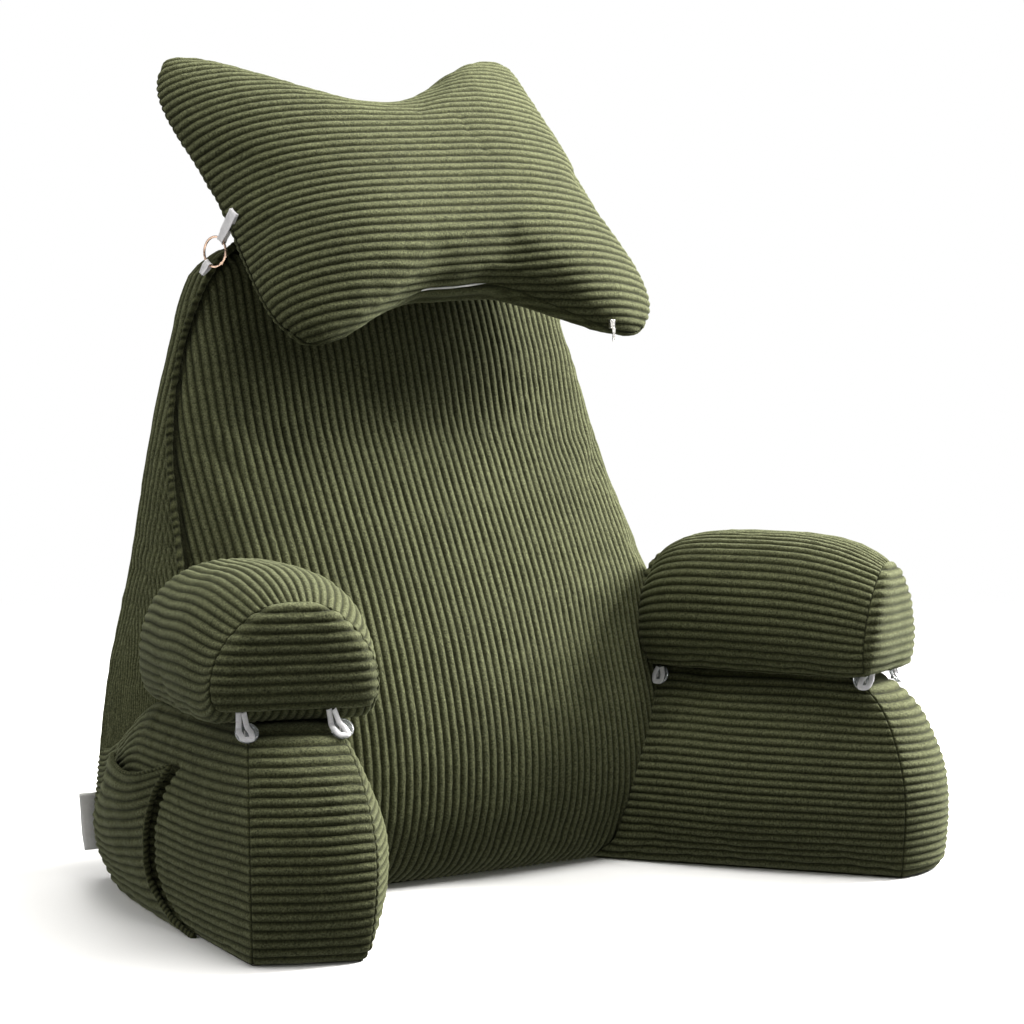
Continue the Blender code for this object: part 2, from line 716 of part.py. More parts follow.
def make_ring(place, ring_material, ribbon_material):
    """A thin ring at a top corner, and its ribbons to the head pillow and to the backrest."""
    name, axis = side_name(place.side), place.axis.normalized()
    profile = []
    for i in range(RING_WIRE_STEPS):
        turn = 2 * pi * i / RING_WIRE_STEPS
        profile.append((RING_RADIUS + RING_WIRE * cos(turn), RING_WIRE * sin(turn)))
    turned(f"ring_{name}", profile, place.centre, axis, RING_STEPS, ring_material)
    for ribbon, far_end, half_width in (("upper", place.pillow_end, 0.0052),
                                        ("lower", place.backrest_end, 0.0020)):
        way = far_end - place.centre
        way = (way - axis * way.dot(axis)).normalized()
        near_end = place.centre + way * (RING_RADIUS + RING_WIRE + 2 * PIECE_GAP)
        across = (far_end - near_end).cross(axis).normalized()
        band(f"{ribbon}_ribbon_{name}", [(far_end, across), (near_end, across)], (half_width, 0.0048),
             RIBBON_THICKNESS, ribbon_material)


def make_small_trims(pull_material, label_material):
    """The zip's pull and the blank care label."""
    across = Vector((1, 0, 0))
    band("zip_pull", [(point, across) for point in ZIP_PULL], [ZIP_PULL_HALF_WIDTH] * 2,
         RIBBON_THICKNESS, pull_material)
    band("care_label", [(point, across) for point in LABEL], [LABEL_HALF_WIDTH] * 2,
         LABEL_THICKNESS, label_material)


def clear_scene():
    """Start from an empty scene."""
    for item in list(bpy.data.objects):
        bpy.data.objects.remove(item, do_unlink=True)


def main():
    """Build every piece, each in its own material."""
    clear_scene()
    make_backrest(new_material("backrest_cloth", *CORDUROY))
    make_head_pillow(new_material("head_pillow_cloth", *CORDUROY))
    make_pocket(new_material("pocket_cloth", *CORDUROY))
    make_flange(new_material("seam_flange_cloth", *CORDUROY))
    make_small_trims(new_material("zip_pull_metal", *PLATED_STEEL),
                     new_material("care_label_tape", *LABEL_TAPE))
    for side in (LEFT, RIGHT):
        make_arm(side, new_material(f"arm_{side_name(side)}_cloth", *CORDUROY))
        make_bolster(side, new_material(f"bolster_{side_name(side)}_cloth", *CORDUROY))
    for place in RINGS:
        make_ring(place, new_material(f"ring_{side_name(place.side)}_metal", *ROSE_GOLD),
                  new_material(f"ring_{side_name(place.side)}_ribbon", *RIBBON))
    for place in BUTTONS:
        make_button(place, new_material(f"button_{place.name}_plastic", *CLEAR_PLASTIC, CLEAR_ALPHA),
                    new_material(f"loop_{place.name}_ribbon", *RIBBON))


main()
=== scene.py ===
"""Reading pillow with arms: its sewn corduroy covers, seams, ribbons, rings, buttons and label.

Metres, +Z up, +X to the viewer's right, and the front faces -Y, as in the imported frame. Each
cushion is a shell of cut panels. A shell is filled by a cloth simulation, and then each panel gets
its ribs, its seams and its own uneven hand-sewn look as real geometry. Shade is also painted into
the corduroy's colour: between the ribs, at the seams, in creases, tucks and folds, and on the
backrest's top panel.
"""

import logging
from collections.abc import Callable, Sequence
from dataclasses import dataclass, field, replace
from enum import Enum
from math import cos, pi, radians, sin

import bmesh
import bpy
import numpy as np
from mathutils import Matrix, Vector


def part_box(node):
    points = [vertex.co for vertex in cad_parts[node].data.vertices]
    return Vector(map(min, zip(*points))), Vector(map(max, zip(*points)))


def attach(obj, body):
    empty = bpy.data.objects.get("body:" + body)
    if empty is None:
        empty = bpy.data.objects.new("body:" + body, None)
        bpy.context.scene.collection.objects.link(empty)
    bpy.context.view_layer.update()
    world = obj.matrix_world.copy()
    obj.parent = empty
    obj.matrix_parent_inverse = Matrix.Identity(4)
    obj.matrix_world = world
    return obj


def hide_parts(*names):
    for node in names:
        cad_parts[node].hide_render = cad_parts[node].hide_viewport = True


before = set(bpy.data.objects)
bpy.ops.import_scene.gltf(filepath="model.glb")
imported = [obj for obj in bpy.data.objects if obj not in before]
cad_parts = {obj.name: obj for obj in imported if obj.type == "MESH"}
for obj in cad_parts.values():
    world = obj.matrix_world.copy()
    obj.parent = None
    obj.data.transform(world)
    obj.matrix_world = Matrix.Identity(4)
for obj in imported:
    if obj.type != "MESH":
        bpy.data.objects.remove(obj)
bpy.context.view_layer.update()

LOG = logging.getLogger("reading_pillow")
BODY = "root"
PILE = 0.0019              # how far a rib stands over the cloth between the ribs
PUFF = 0.0005              # how far a panel stands over its seams
BASE_LIFT = 0.0004         # how far the base cloth lies over the floor
WELD = 0.0004              # points of two panels this near each other are sewn together
LOOSEST = 0.04             # how firmly the cloth is held where it is freest, so that it can't drift off
RIB_STEPS = (0.0, 0.12, 0.30, 0.50, 0.70, 0.88)                   # where points lie across a rib
NO_AREA = 2e-9             # a quad with less than this, in square metres doubled, is left out
SEAM_STEPS = (0.0004, 0.0009, 0.0016, 0.0026, 0.0042, 0.0065)     # where points lie beside a seam
OPEN_FOOT = (False, True, True, True)                             # a panel that isn't sewn at its foot

Array = np.ndarray
Material = bpy.types.Material
Socket = bpy.types.NodeSocket
Table = tuple[tuple[float, ...], ...]
Number = float | Array
Fine = tuple[Array, Array, Array]       # points, tone (height in the pile, times painted shade), nearness to a seam (for painted seam shade)
Spot = tuple[float, float, float]


class Side(Enum):
    """The viewer's left or right."""

    LEFT = -1
    RIGHT = 1

    @property
    def word(self) -> str:
        """The end of a piece's name."""
        return self.name.lower()


class Run(Enum):
    """Which way a panel's ribs run."""

    UP = 1
    ROUND = 0


# ---- curves, noise and grids ----------------------------------------------------------------


def lerp(a: Number, b: Number, share: Number) -> Number:
    """Number or array a share of the way from a to b."""
    return a + (b - a) * share


def ease(share: Number) -> Number:
    """0 to 1 with level ends."""
    share = np.clip(share, 0.0, 1.0)
    return share * share * (3 - 2 * share)


def unit(vectors: Array) -> Array:
    """Vectors along the last axis, each made one long."""
    return vectors / np.maximum(np.linalg.norm(vectors, axis=-1, keepdims=True), 1e-12)


def read_table(rows: Table, key: Array) -> list[Array]:
    """Columns of a table of sizes, on a smooth curve between its rows.

    Args:
        rows: The table, its first column the key.
        key: Where to read it.

    Returns:
        One array for each column after the first.
    """
    table = np.array(rows, float)
    keys = table[:, 0]
    low = np.clip(np.searchsorted(keys, key, side="left") - 1, 0, len(keys) - 2)
    before, after = np.maximum(low - 1, 0), np.minimum(low + 2, len(keys) - 1)
    step = keys[low + 1] - keys[low]
    s = (key - keys[low]) / step
    columns = []
    for c in range(1, table.shape[1]):
        v = table[:, c]
        slope_in = (v[low + 1] - v[before]) / (keys[low + 1] - keys[before]) * step
        slope_out = (v[after] - v[low]) / (keys[after] - keys[low]) * step
        columns.append(lerp(v[low], v[low + 1], ease(s)) + s * (1 - s) ** 2 * slope_in
                       - s * s * (1 - s) * slope_out)
    return columns


def ripple(points: Array, length: float, seed: int) -> Array:
    """Smooth uneven waves through space.

    Args:
        points: Where to read them, an array of points.
        length: The usual wavelength.
        seed: Which set of waves.

    Returns:
        Heights, mostly from -1 to 1.
    """
    dice = np.random.default_rng(seed)
    total = np.zeros(points.shape[:-1])
    for _ in range(7):
        way = unit(dice.normal(size=3)) * (2 * pi / (length * dice.uniform(0.7, 1.6)))
        total += np.sin(points @ way + dice.uniform(0, 2 * pi))
    return total / 2.6


def along_axis(grid: Array, places: Array, axis: int) -> Array:
    """Points read between a grid's lines on a cubic curve.

    Args:
        grid: Rows by columns of points.
        places: 0 to 1 along the axis, one for each line wanted, or one for each point wanted.
        axis: 0 to read between the rows, or 1 between the columns.

    Returns:
        The new grid.
    """
    if axis == 0:
        return along_axis(grid.swapaxes(0, 1), places.T if places.ndim == 2 else places, 1).swapaxes(0, 1)
    count = grid.shape[1]
    at = np.clip(places, 0, 1) * (count - 1)
    low = np.minimum(at.astype(int), count - 2)
    t = (at - low)[..., None]
    wide = np.concatenate([2 * grid[:, :1] - grid[:, 1:2], grid, 2 * grid[:, -1:] - grid[:, -2:-1]], 1)
    if places.ndim == 1:
        p = [wide[:, low + i] for i in range(4)]
        t = t[None]
    else:
        rows = np.arange(grid.shape[0])[:, None]
        p = [wide[rows, low + i] for i in range(4)]
    return 0.5 * (2 * p[1] + (p[2] - p[0]) * t + (2 * p[0] - 5 * p[1] + 4 * p[2] - p[3]) * t ** 2
                  + (3 * p[1] - p[0] - 3 * p[2] + p[3]) * t ** 3)


def reach(grid: Array, axis: int) -> Array:
    """Length from the first line of a grid to each point, measured along the axis.

    Args:
        grid: Rows by columns of points.
        axis: The axis that it runs along.

    Returns:
        The lengths.
    """
    steps = np.linalg.norm(np.diff(grid, axis=axis), axis=-1)
    total = np.cumsum(steps, axis=axis)
    start = np.zeros_like(np.take(total, [0], axis=axis))
    return np.concatenate([start, total], axis=axis)


def read_path(path: Array, count: int) -> tuple[Array, Array]:
    """Points evenly spaced along a path.

    Args:
        path: Its points.
        count: How many are wanted.

    Returns:
        How far along each is, and the points.
    """
    length = reach(path[None], 1)[0]
    want = np.linspace(0, length[-1], count)
    return want, np.stack([np.interp(want, length, column) for column in path.T], -1)


def facing(grid: Array) -> Array:
    """Outward unit normals of a grid whose columns run round and whose rows run up.

    Args:
        grid: Rows by columns of points.

    Returns:
        One normal for each point.
    """
    normals = np.cross(np.gradient(grid, axis=1), np.gradient(grid, axis=0))
    weak = np.linalg.norm(normals, axis=-1) < 1e-10
    if weak.any():
        normals[weak] = unit(normals[~weak].mean(0))
        for i in np.flatnonzero(weak.all(axis=1)):
            normals[i] = normals[i - 1] if i else normals[1]
    return unit(normals)


def stepped(length: float, step: float, ends: tuple[bool, bool]) -> Array:
    """Places along a line, close together near the ends that are sewn.

    Args:
        length: The line's length.
        step: The usual distance between places.
        ends: Whether there is a seam at the start, and at the end.

    Returns:
        Places from 0 to 1.
    """
    start = list(SEAM_STEPS) if ends[0] else []
    finish = [length - step_in for step_in in reversed(SEAM_STEPS)] if ends[1] else []
    first, last = (start[-1] if start else 0.0), (finish[0] if finish else length)
    middle = np.linspace(first, last, max(2, round((last - first) / step)) + 1)
    places = [0.0, *start[:-1], *middle, *finish[1:], length]
    return np.unique(np.round(np.array(places) / length, 6))


# ---- panels and shells ----------------------------------------------------------------------


Relief = Callable[[Array, Array, Array], tuple[Array, Array]]


@dataclass(frozen=True)
class Handwork:
    """How uneven the sewn corduroy is, and how far the painted seam shade reaches."""

    rib_power: float = 0.85       # how full a rib's section is. Less is squarer
    seam_cut: float = 0.0005      # how near a seam the ribs sink away
    seam_roll: float = 0.0012     # how near a seam the cloth rolls in
    seam_calm: float = 0.004      # how near a seam the cloth is held level
    seam_shade_reach: float = 0.0006     # how near a seam the cloth is painted darker, as shade in the seam
    worn: tuple[float, float] = (0.10, 0.016)     # share that the ribs' height varies by, and its wavelength
    pucker: tuple[float, float, float] = (0.0006, 0.040, 0.016)     # height, wavelength, reach from a seam
    crumple: tuple[float, float] = (0.0002, 0.005)                  # height and wavelength


HAND = Handwork()


@dataclass
class Panel:
    """One cut piece of a cover, as a grid whose columns run round and whose rows run up.

    Attributes:
        grid: Coarse points, rows by columns.
        ribs: How many ribs cross it.
        run: Which way they run.
        seams: Whether it is sewn at its foot, head, start and end.
        hold: How firmly the filling's push is held off, 0 to 1, over the grid.
        step: Distance between points along the ribs.
        pitch: Distance between the ribs where they are straight on the cloth, and run out at the
            seams, counted both ways from the middle.
        phase: Rib count over the fine points, where the ribs aren't even in the grid.
        samples: Steps across the ribs where phase is given.
        relief: Extra height and painted shade over the fine points, such as a crease.
        plain: True for cloth without ribs.
        wander: How far the ribs wander, as a share of their pitch.
        index: Where its points are among the cover's welded ones.
    """

    grid: Array
    ribs: float
    run: Run
    seams: tuple[bool, bool, bool, bool] = (True, True, True, True)
    hold: Array | float = 0.0
    step: float = 0.007
    pitch: float = 0.0
    phase: Callable[[Array], Array] | None = None
    samples: int = 0
    relief: Relief | None = None
    plain: bool = False
    wander: float = 0.10
    index: Array = field(default_factory=lambda: np.zeros(0, int))

    def fine(self, seed: int) -> Fine:
        """The panel's finished points.

        Args:
            seed: Which uneven waves it gets.

        Returns:
            The points, their tone (how high in the pile each lies, times painted shade), and how near a seam.
        """
        across = self.run.value
        along = 1 - across
        lengths = [float(reach(self.grid, axis).take(-1, axis=axis).mean()) for axis in (0, 1)]
        if self.pitch:
            return self._even(across, along, lengths, seed)
        if self.plain:
            crossing = stepped(lengths[across], self.step, self._ends(across))
            counts = crossing * 0
        elif self.phase is not None:
            crossing = np.linspace(0, 1, self.samples + 1)
            counts = crossing * 0
        else:
            whole = int(np.ceil(self.ribs))
            counts = np.array([rib + step for rib in range(whole) for step in RIB_STEPS
                               if rib + step < self.ribs] + [self.ribs])
            crossing = counts / self.ribs
        lengthwise = stepped(lengths[along], self.step, self._ends(along))
        base = along_axis(self.grid, lengthwise, along)
        shape = [0, 0]
        shape[across], shape[along] = len(crossing), len(lengthwise)
        places = np.broadcast_to(crossing[:, None] if across == 0 else crossing[None, :], shape)
        if not self.plain and self.phase is None and self.wander:
            start = along_axis(base, crossing, across)
            window = np.minimum(1, 8 * places * (1 - places))
            lengthwise_window = np.broadcast_to(
                lengthwise[None, :] if across == 0 else lengthwise[:, None], shape)
            window = window * np.minimum(1, 12 * lengthwise_window * (1 - lengthwise_window))
            places = places + window * ripple(start, 0.12, seed) * self.wander / self.ribs
        base = along_axis(base, places, across)
        count = self.phase(base) if self.phase is not None else np.broadcast_to(
            counts[:, None] if across == 0 else counts[None, :], shape)
        return self._relieved(base, count, seed)

    def _even(self, across: int, along: int, lengths: list[float], seed: int) -> Fine:
        """The finished points where the ribs are straight and evenly spaced on the cloth.

        Args:
            across: The grid's axis over the ribs.
            along: The grid's axis along them.
            lengths: The grid's mean length on each axis.
            seed: Which uneven waves it gets.

        Returns:
            The points, their tone (how high in the pile each lies, times painted shade), and how near a seam.
        """
        base = along_axis(self.grid, stepped(lengths[along], self.step, self._ends(along)), along)
        lines = base.swapaxes(0, 1) if across == 0 else base
        length = reach(lines, 1)
        index = np.linspace(0, 1, lines.shape[1])
        length = length - np.array([[np.interp(0.5, index, row)] for row in length])
        first = int(np.floor(length[:, 0].min() / self.pitch))
        last = int(np.ceil(length[:, -1].max() / self.pitch))
        wanted = [rib + step for rib in range(first, last) for step in RIB_STEPS] + [last]
        wanted = np.array(wanted, float) * self.pitch
        middle = lines[:, lines.shape[1] // 2] + np.array([0.001 * wanted[len(wanted) // 2], 0.0, 0.0])
        drift = ripple(middle, 0.14, seed) * self.wander * self.pitch
        places = np.stack([np.interp(wanted + d, row, index) for row, d in zip(length, drift)])
        counts = np.stack([np.clip(wanted + d, row[0], row[-1]) - d for row, d in zip(length, drift)])
        counts = counts / self.pitch
        fine = along_axis(lines, places, 1)
        if across == 0:
            fine, counts = fine.swapaxes(0, 1), counts.T
        return self._relieved(fine, counts, seed)

    def _relieved(self, base: Array, count: Array, seed: int) -> Fine:
        """Raise the ribs, seams and uneven places on the fine points.

        Args:
            base: The fine points, at the seams' level.
            count: Rib count over them.
            seed: Which uneven waves they get.

        Returns:
            The points, their tone (how high in the pile each lies, times painted shade), and how near a seam.
        """
        near = self._near_seam(base)
        normals = facing(base)
        whole = np.zeros(base.shape[:2]) if self.plain else np.sin(pi * (count % 1)) ** HAND.rib_power
        pile = whole * (1 - np.exp(-(near / HAND.seam_cut) ** 2))
        calm = 1 - np.exp(-near / HAND.seam_calm)
        share, length = HAND.worn
        height = PUFF * (1 - np.exp(-near / HAND.seam_roll))
        height = height + PILE * pile * (1 + share * ripple(base, length, seed + 1))
        size, length, far = HAND.pucker
        height += size * ripple(base, length, seed + 2) * np.exp(-near / far) * calm
        size, length = HAND.crumple
        height += size * ripple(base, length, seed + 3) * calm
        # The tone from the ribs' height becomes painted shade in the grooves; plain cloth gets an even 0.6,
        # and a relief's shade is painted shade multiplied in.
        tone = (whole + pile) / 2 if not self.plain else np.full(base.shape[:2], 0.6)
        if self.relief is not None:
            extra, shade = self.relief(base, near, count)
            height = height + extra
            tone = tone * shade
        # Nearness to a seam sets the material's painted seam shade.
        return base + normals * height[..., None], tone, np.exp(-near / HAND.seam_shade_reach)

    def _ends(self, axis: int) -> tuple[bool, bool]:
        """Whether the panel is sewn at the start and the end of an axis."""
        return self.seams[2 * axis], self.seams[2 * axis + 1]

    def _near_seam(self, base: Array) -> Array:
        """Distance from each fine point to the nearest seam.

        Args:
            base: The fine points.

        Returns:
            The distances.
        """
        near = np.full(base.shape[:2], 1.0)
        for axis in (0, 1):
            length = reach(base, axis)
            total = length.take([-1], axis=axis)
            start, end = self._ends(axis)
            if start:
                near = np.minimum(near, length)
            if end:
                near = np.minimum(near, total - length)
        return near


@dataclass(frozen=True)
class Filling:
    """How hard a cover is filled.

    Attributes:
        pressure: Outward push.
        slack: How much longer the cloth is than its pattern, as a share.
        cap: The furthest that a point may move.
        fill: How full the finished cushion is, 0 to 1.
        frames: How long the simulation runs.
    """

    pressure: float
    slack: float
    cap: float
    fill: float
    frames: int = 16


def fill_shell(panels: Sequence[Panel], filling: Filling) -> None:
    """Let a cover's panels, sewn at their shared edges, swell and pucker as cloth does.

    Args:
        panels: The panels. Their grids are changed.
        filling: How hard they are filled.
    """
    points = np.concatenate([panel.grid.reshape(-1, 3) for panel in panels])
    holds = np.concatenate([np.broadcast_to(panel.hold, panel.grid.shape[:2]).ravel() for panel in panels])
    _, first, same = np.unique(np.round(points / WELD).astype(int), axis=0, return_index=True,
                               return_inverse=True)
    same = same.ravel()
    welded, hold = points[first].copy(), np.zeros(len(first))
    np.maximum.at(hold, same, holds)
    faces, begin = [], 0
    for panel in panels:
        rows, columns = panel.grid.shape[:2]
        index = same[begin:begin + rows * columns].reshape(rows, columns)
        panel.index = index
        begin += rows * columns
        quads = np.stack([index[:-1, :-1], index[:-1, 1:], index[1:, 1:], index[1:, :-1]], -1)
        faces += [tuple(dict.fromkeys(quad)) for quad in quads.reshape(-1, 4).tolist()]
    faces = [face for face in faces if len(face) > 2]
    mesh = bpy.data.meshes.new("pattern")
    mesh.from_pydata(welded.tolist(), [], faces)
    mesh.update()
    pattern = bpy.data.objects.new("pattern", mesh)
    bpy.context.scene.collection.objects.link(pattern)
    normals = np.zeros(len(welded) * 3)
    mesh.vertices.foreach_get("normal", normals)
    normals = normals.reshape(-1, 3)
    sunk = welded - normals * (PILE + PUFF)
    group = pattern.vertex_groups.new(name="hold")
    for i, weight in enumerate(hold):
        group.add([i], float(LOOSEST + (1 - LOOSEST) * weight), "REPLACE")
    moved = simulate(pattern, filling) - welded
    far = np.linalg.norm(moved, axis=1, keepdims=True)
    held_in = filling.cap * np.tanh(far / filling.cap) / np.maximum(far, 1e-9)
    moved *= np.where(far > 1e-9, held_in, 1.0)
    sunk = sunk + moved * (1 - hold[:, None])
    bpy.data.objects.remove(pattern)
    for panel in panels:
        panel.grid = sunk[panel.index]


def simulate(pattern: bpy.types.Object, filling: Filling) -> Array:
    """Run the cloth simulation on a pattern and read where its points end.

    Args:
        pattern: The sewn pattern, with a vertex group that holds it.
        filling: How hard it is filled.

    Returns:
        The points.
    """
    cloth = pattern.modifiers.new("Cloth", "CLOTH")
    settings = cloth.settings
    settings.quality = 5
    settings.mass = 0.25
    settings.tension_stiffness = settings.compression_stiffness = 12.0
    settings.shear_stiffness = 4.0
    settings.bending_stiffness = 0.6
    settings.use_pressure = True
    settings.uniform_pressure_force = filling.pressure
    settings.shrink_min = -filling.slack
    settings.vertex_group_mass = "hold"
    settings.pin_stiffness = 1.0
    settings.effector_weights.gravity = 0.0
    cloth.collision_settings.use_collision = False
    cloth.collision_settings.use_self_collision = False
    cloth.point_cache.frame_start, cloth.point_cache.frame_end = 1, filling.frames
    scene = bpy.context.scene
    for number in range(1, filling.frames + 1):
        scene.frame_set(number)
    finished = pattern.evaluated_get(bpy.context.evaluated_depsgraph_get())
    points = np.zeros(len(finished.data.vertices) * 3)
    finished.data.vertices.foreach_get("co", points)
    scene.frame_set(1)
    return points.reshape(-1, 3)


def grid_faces(rows: int, columns: int, offset: int, closed: bool = False) -> Array:
    """Corner numbers of the quads of a grid.

    Args:
        rows: Number of rows of points.
        columns: Number of columns of points.
        offset: The first point's number.
        closed: Whether the last column joins the first.

    Returns:
        One row of four numbers for each quad.
    """
    index = offset + np.arange(rows * columns).reshape(rows, columns)
    right = np.roll(index, -1, axis=1) if closed else index[:, 1:]
    left = index if closed else index[:, :-1]
    return np.stack([left[:-1], right[:-1], right[1:], left[1:]], -1).reshape(-1, 4)


def mesh_object(name: str, points: Array, quads: Array, material: Material,
                values: dict[str, Array] | None = None) -> bpy.types.Object:
    """A smooth mesh object of quads.

    Args:
        name: The object's name.
        points: Its points.
        quads: Four point numbers for each face.
        material: What it is made of.
        values: Number arrays to keep on its points, by name.

    Returns:
        The object, linked to the scene.
    """
    mesh = bpy.data.meshes.new(name)
    mesh.vertices.add(len(points))
    mesh.vertices.foreach_set("co", points.astype(np.float32).ravel())
    mesh.loops.add(quads.size)
    mesh.loops.foreach_set("vertex_index", quads.astype(np.int32).ravel())
    mesh.polygons.add(len(quads))
    mesh.polygons.foreach_set("loop_start", np.arange(0, quads.size, 4, dtype=np.int32))
    mesh.polygons.foreach_set("use_smooth", np.ones(len(quads), bool))
    for key, numbers in (values or {}).items():
        layer = mesh.attributes.new(key, "FLOAT", "POINT")
        layer.data.foreach_set("value", numbers.astype(np.float32).ravel())
    mesh.update(calc_edges=True)
    mesh.validate()
    return placed(mesh, material)


def placed(mesh: bpy.types.Mesh, material: Material) -> bpy.types.Object:
    """An object of a mesh, by its name, in one material and linked to the scene.

    Args:
        mesh: The mesh.
        material: What it is made of.

    Returns:
        The object.
    """
    mesh.materials.append(material)
    item = bpy.data.objects.new(mesh.name, mesh)
    bpy.context.scene.collection.objects.link(item)
    return item


def sew(name: str, panels: Sequence[Panel], material: Material, seed: int) -> bpy.types.Object:
    """Finish a cover's panels and join them in one object.

    Args:
        name: The object's name.
        panels: Its panels.
        material: The cloth.
        seed: Which uneven waves it gets.

    Returns:
        The object.
    """
    points, quads, tones, seams, offset = [], [], [], [], 0
    for number, panel in enumerate(panels):
        grid, tone, seam = panel.fine(seed + 10 * number)
        points.append(grid.reshape(-1, 3))
        face = grid_faces(*grid.shape[:2], 0)
        corner = grid.reshape(-1, 3)[face]
        wide = np.linalg.norm(np.cross(corner[:, 2] - corner[:, 0], corner[:, 3] - corner[:, 1]), axis=1)
        quads.append(face[wide > NO_AREA] + offset)
        tones.append(tone.ravel())
        seams.append(seam.ravel())
        offset += grid.shape[0] * grid.shape[1]
    # The pile and seam values set the corduroy's painted shade in its grooves, creases, tucks, folds and
    # seams.
    return mesh_object(name, np.concatenate(points), np.concatenate(quads), material,
                       {"pile": np.concatenate(tones), "seam": np.concatenate(seams)})


def mirrored(panel: Panel, side: Side) -> Panel:
    """A panel modelled on the viewer's left, as it is there or turned over for the right.

    Args:
        panel: The panel.
        side: The side that it is for.

    Returns:
        The panel, or a new one.
    """
    if side is Side.LEFT:
        return panel
    grid = panel.grid[:, ::-1] * np.array([-1.0, 1.0, 1.0])
    hold = np.broadcast_to(panel.hold, panel.grid.shape[:2])[:, ::-1]
    foot, head, start, end = panel.seams
    return replace(panel, grid=grid, hold=hold, seams=(foot, head, end, start))


def flush(points: Array, near: Array, count: Array) -> tuple[Array, Array]:
    """Relief of plain cloth that lies level with its seams."""
    return -PUFF + 0 * near, 1 + 0 * near


def base_panel(grid: Array) -> Panel:
    """A flat panel that a cushion stands on, from a grid with its outline."""
    grid[..., 2] = BASE_LIFT
    return Panel(grid, 0, Run.UP, plain=True, step=0.012, relief=flush)


def dress(piece: bpy.types.Object, node: str = "") -> None:
    """Hide the solid that a piece replaces, if any, and let the piece ride on the one body.

    Args:
        piece: The piece.
        node: The solid that it replaces, if any.
    """
    if node:
        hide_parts(node)
    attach(piece, BODY)


def make_cushion(node: str, panels: list[Panel], filling: Filling, side: Side,
                 material: Material, seed: int) -> bpy.types.Object:
    """Fill a cushion's cover, sew it, and hide the solid that it replaces.

    Args:
        node: The solid's name.
        panels: The cover's panels, modelled on the viewer's left.
        filling: How hard it is filled.
        side: The side that it lies on.
        material: The cloth.
        seed: Which uneven waves it gets.

    Returns:
        The cover.
    """
    fill_shell(panels, filling)
    cover = sew(f"{node}_cover", [mirrored(panel, side) for panel in panels], material, seed)
    dress(cover, node)
    LOG.info("%s: %d faces", node, len(cover.data.polygons))
    return cover


def make_base(node: str, panel: Panel, material: Material, seed: int) -> None:
    """Sew and dress the flat dark cloth that a cushion stands on.

    Args:
        node: The cushion's solid.
        panel: The base's panel.
        material: The cloth.
        seed: Which uneven waves it gets.
    """
    dress(sew(f"{node}_base", [panel], material, seed))


# ---- finishes -------------------------------------------------------------------------------


Colour = tuple[float, float, float]


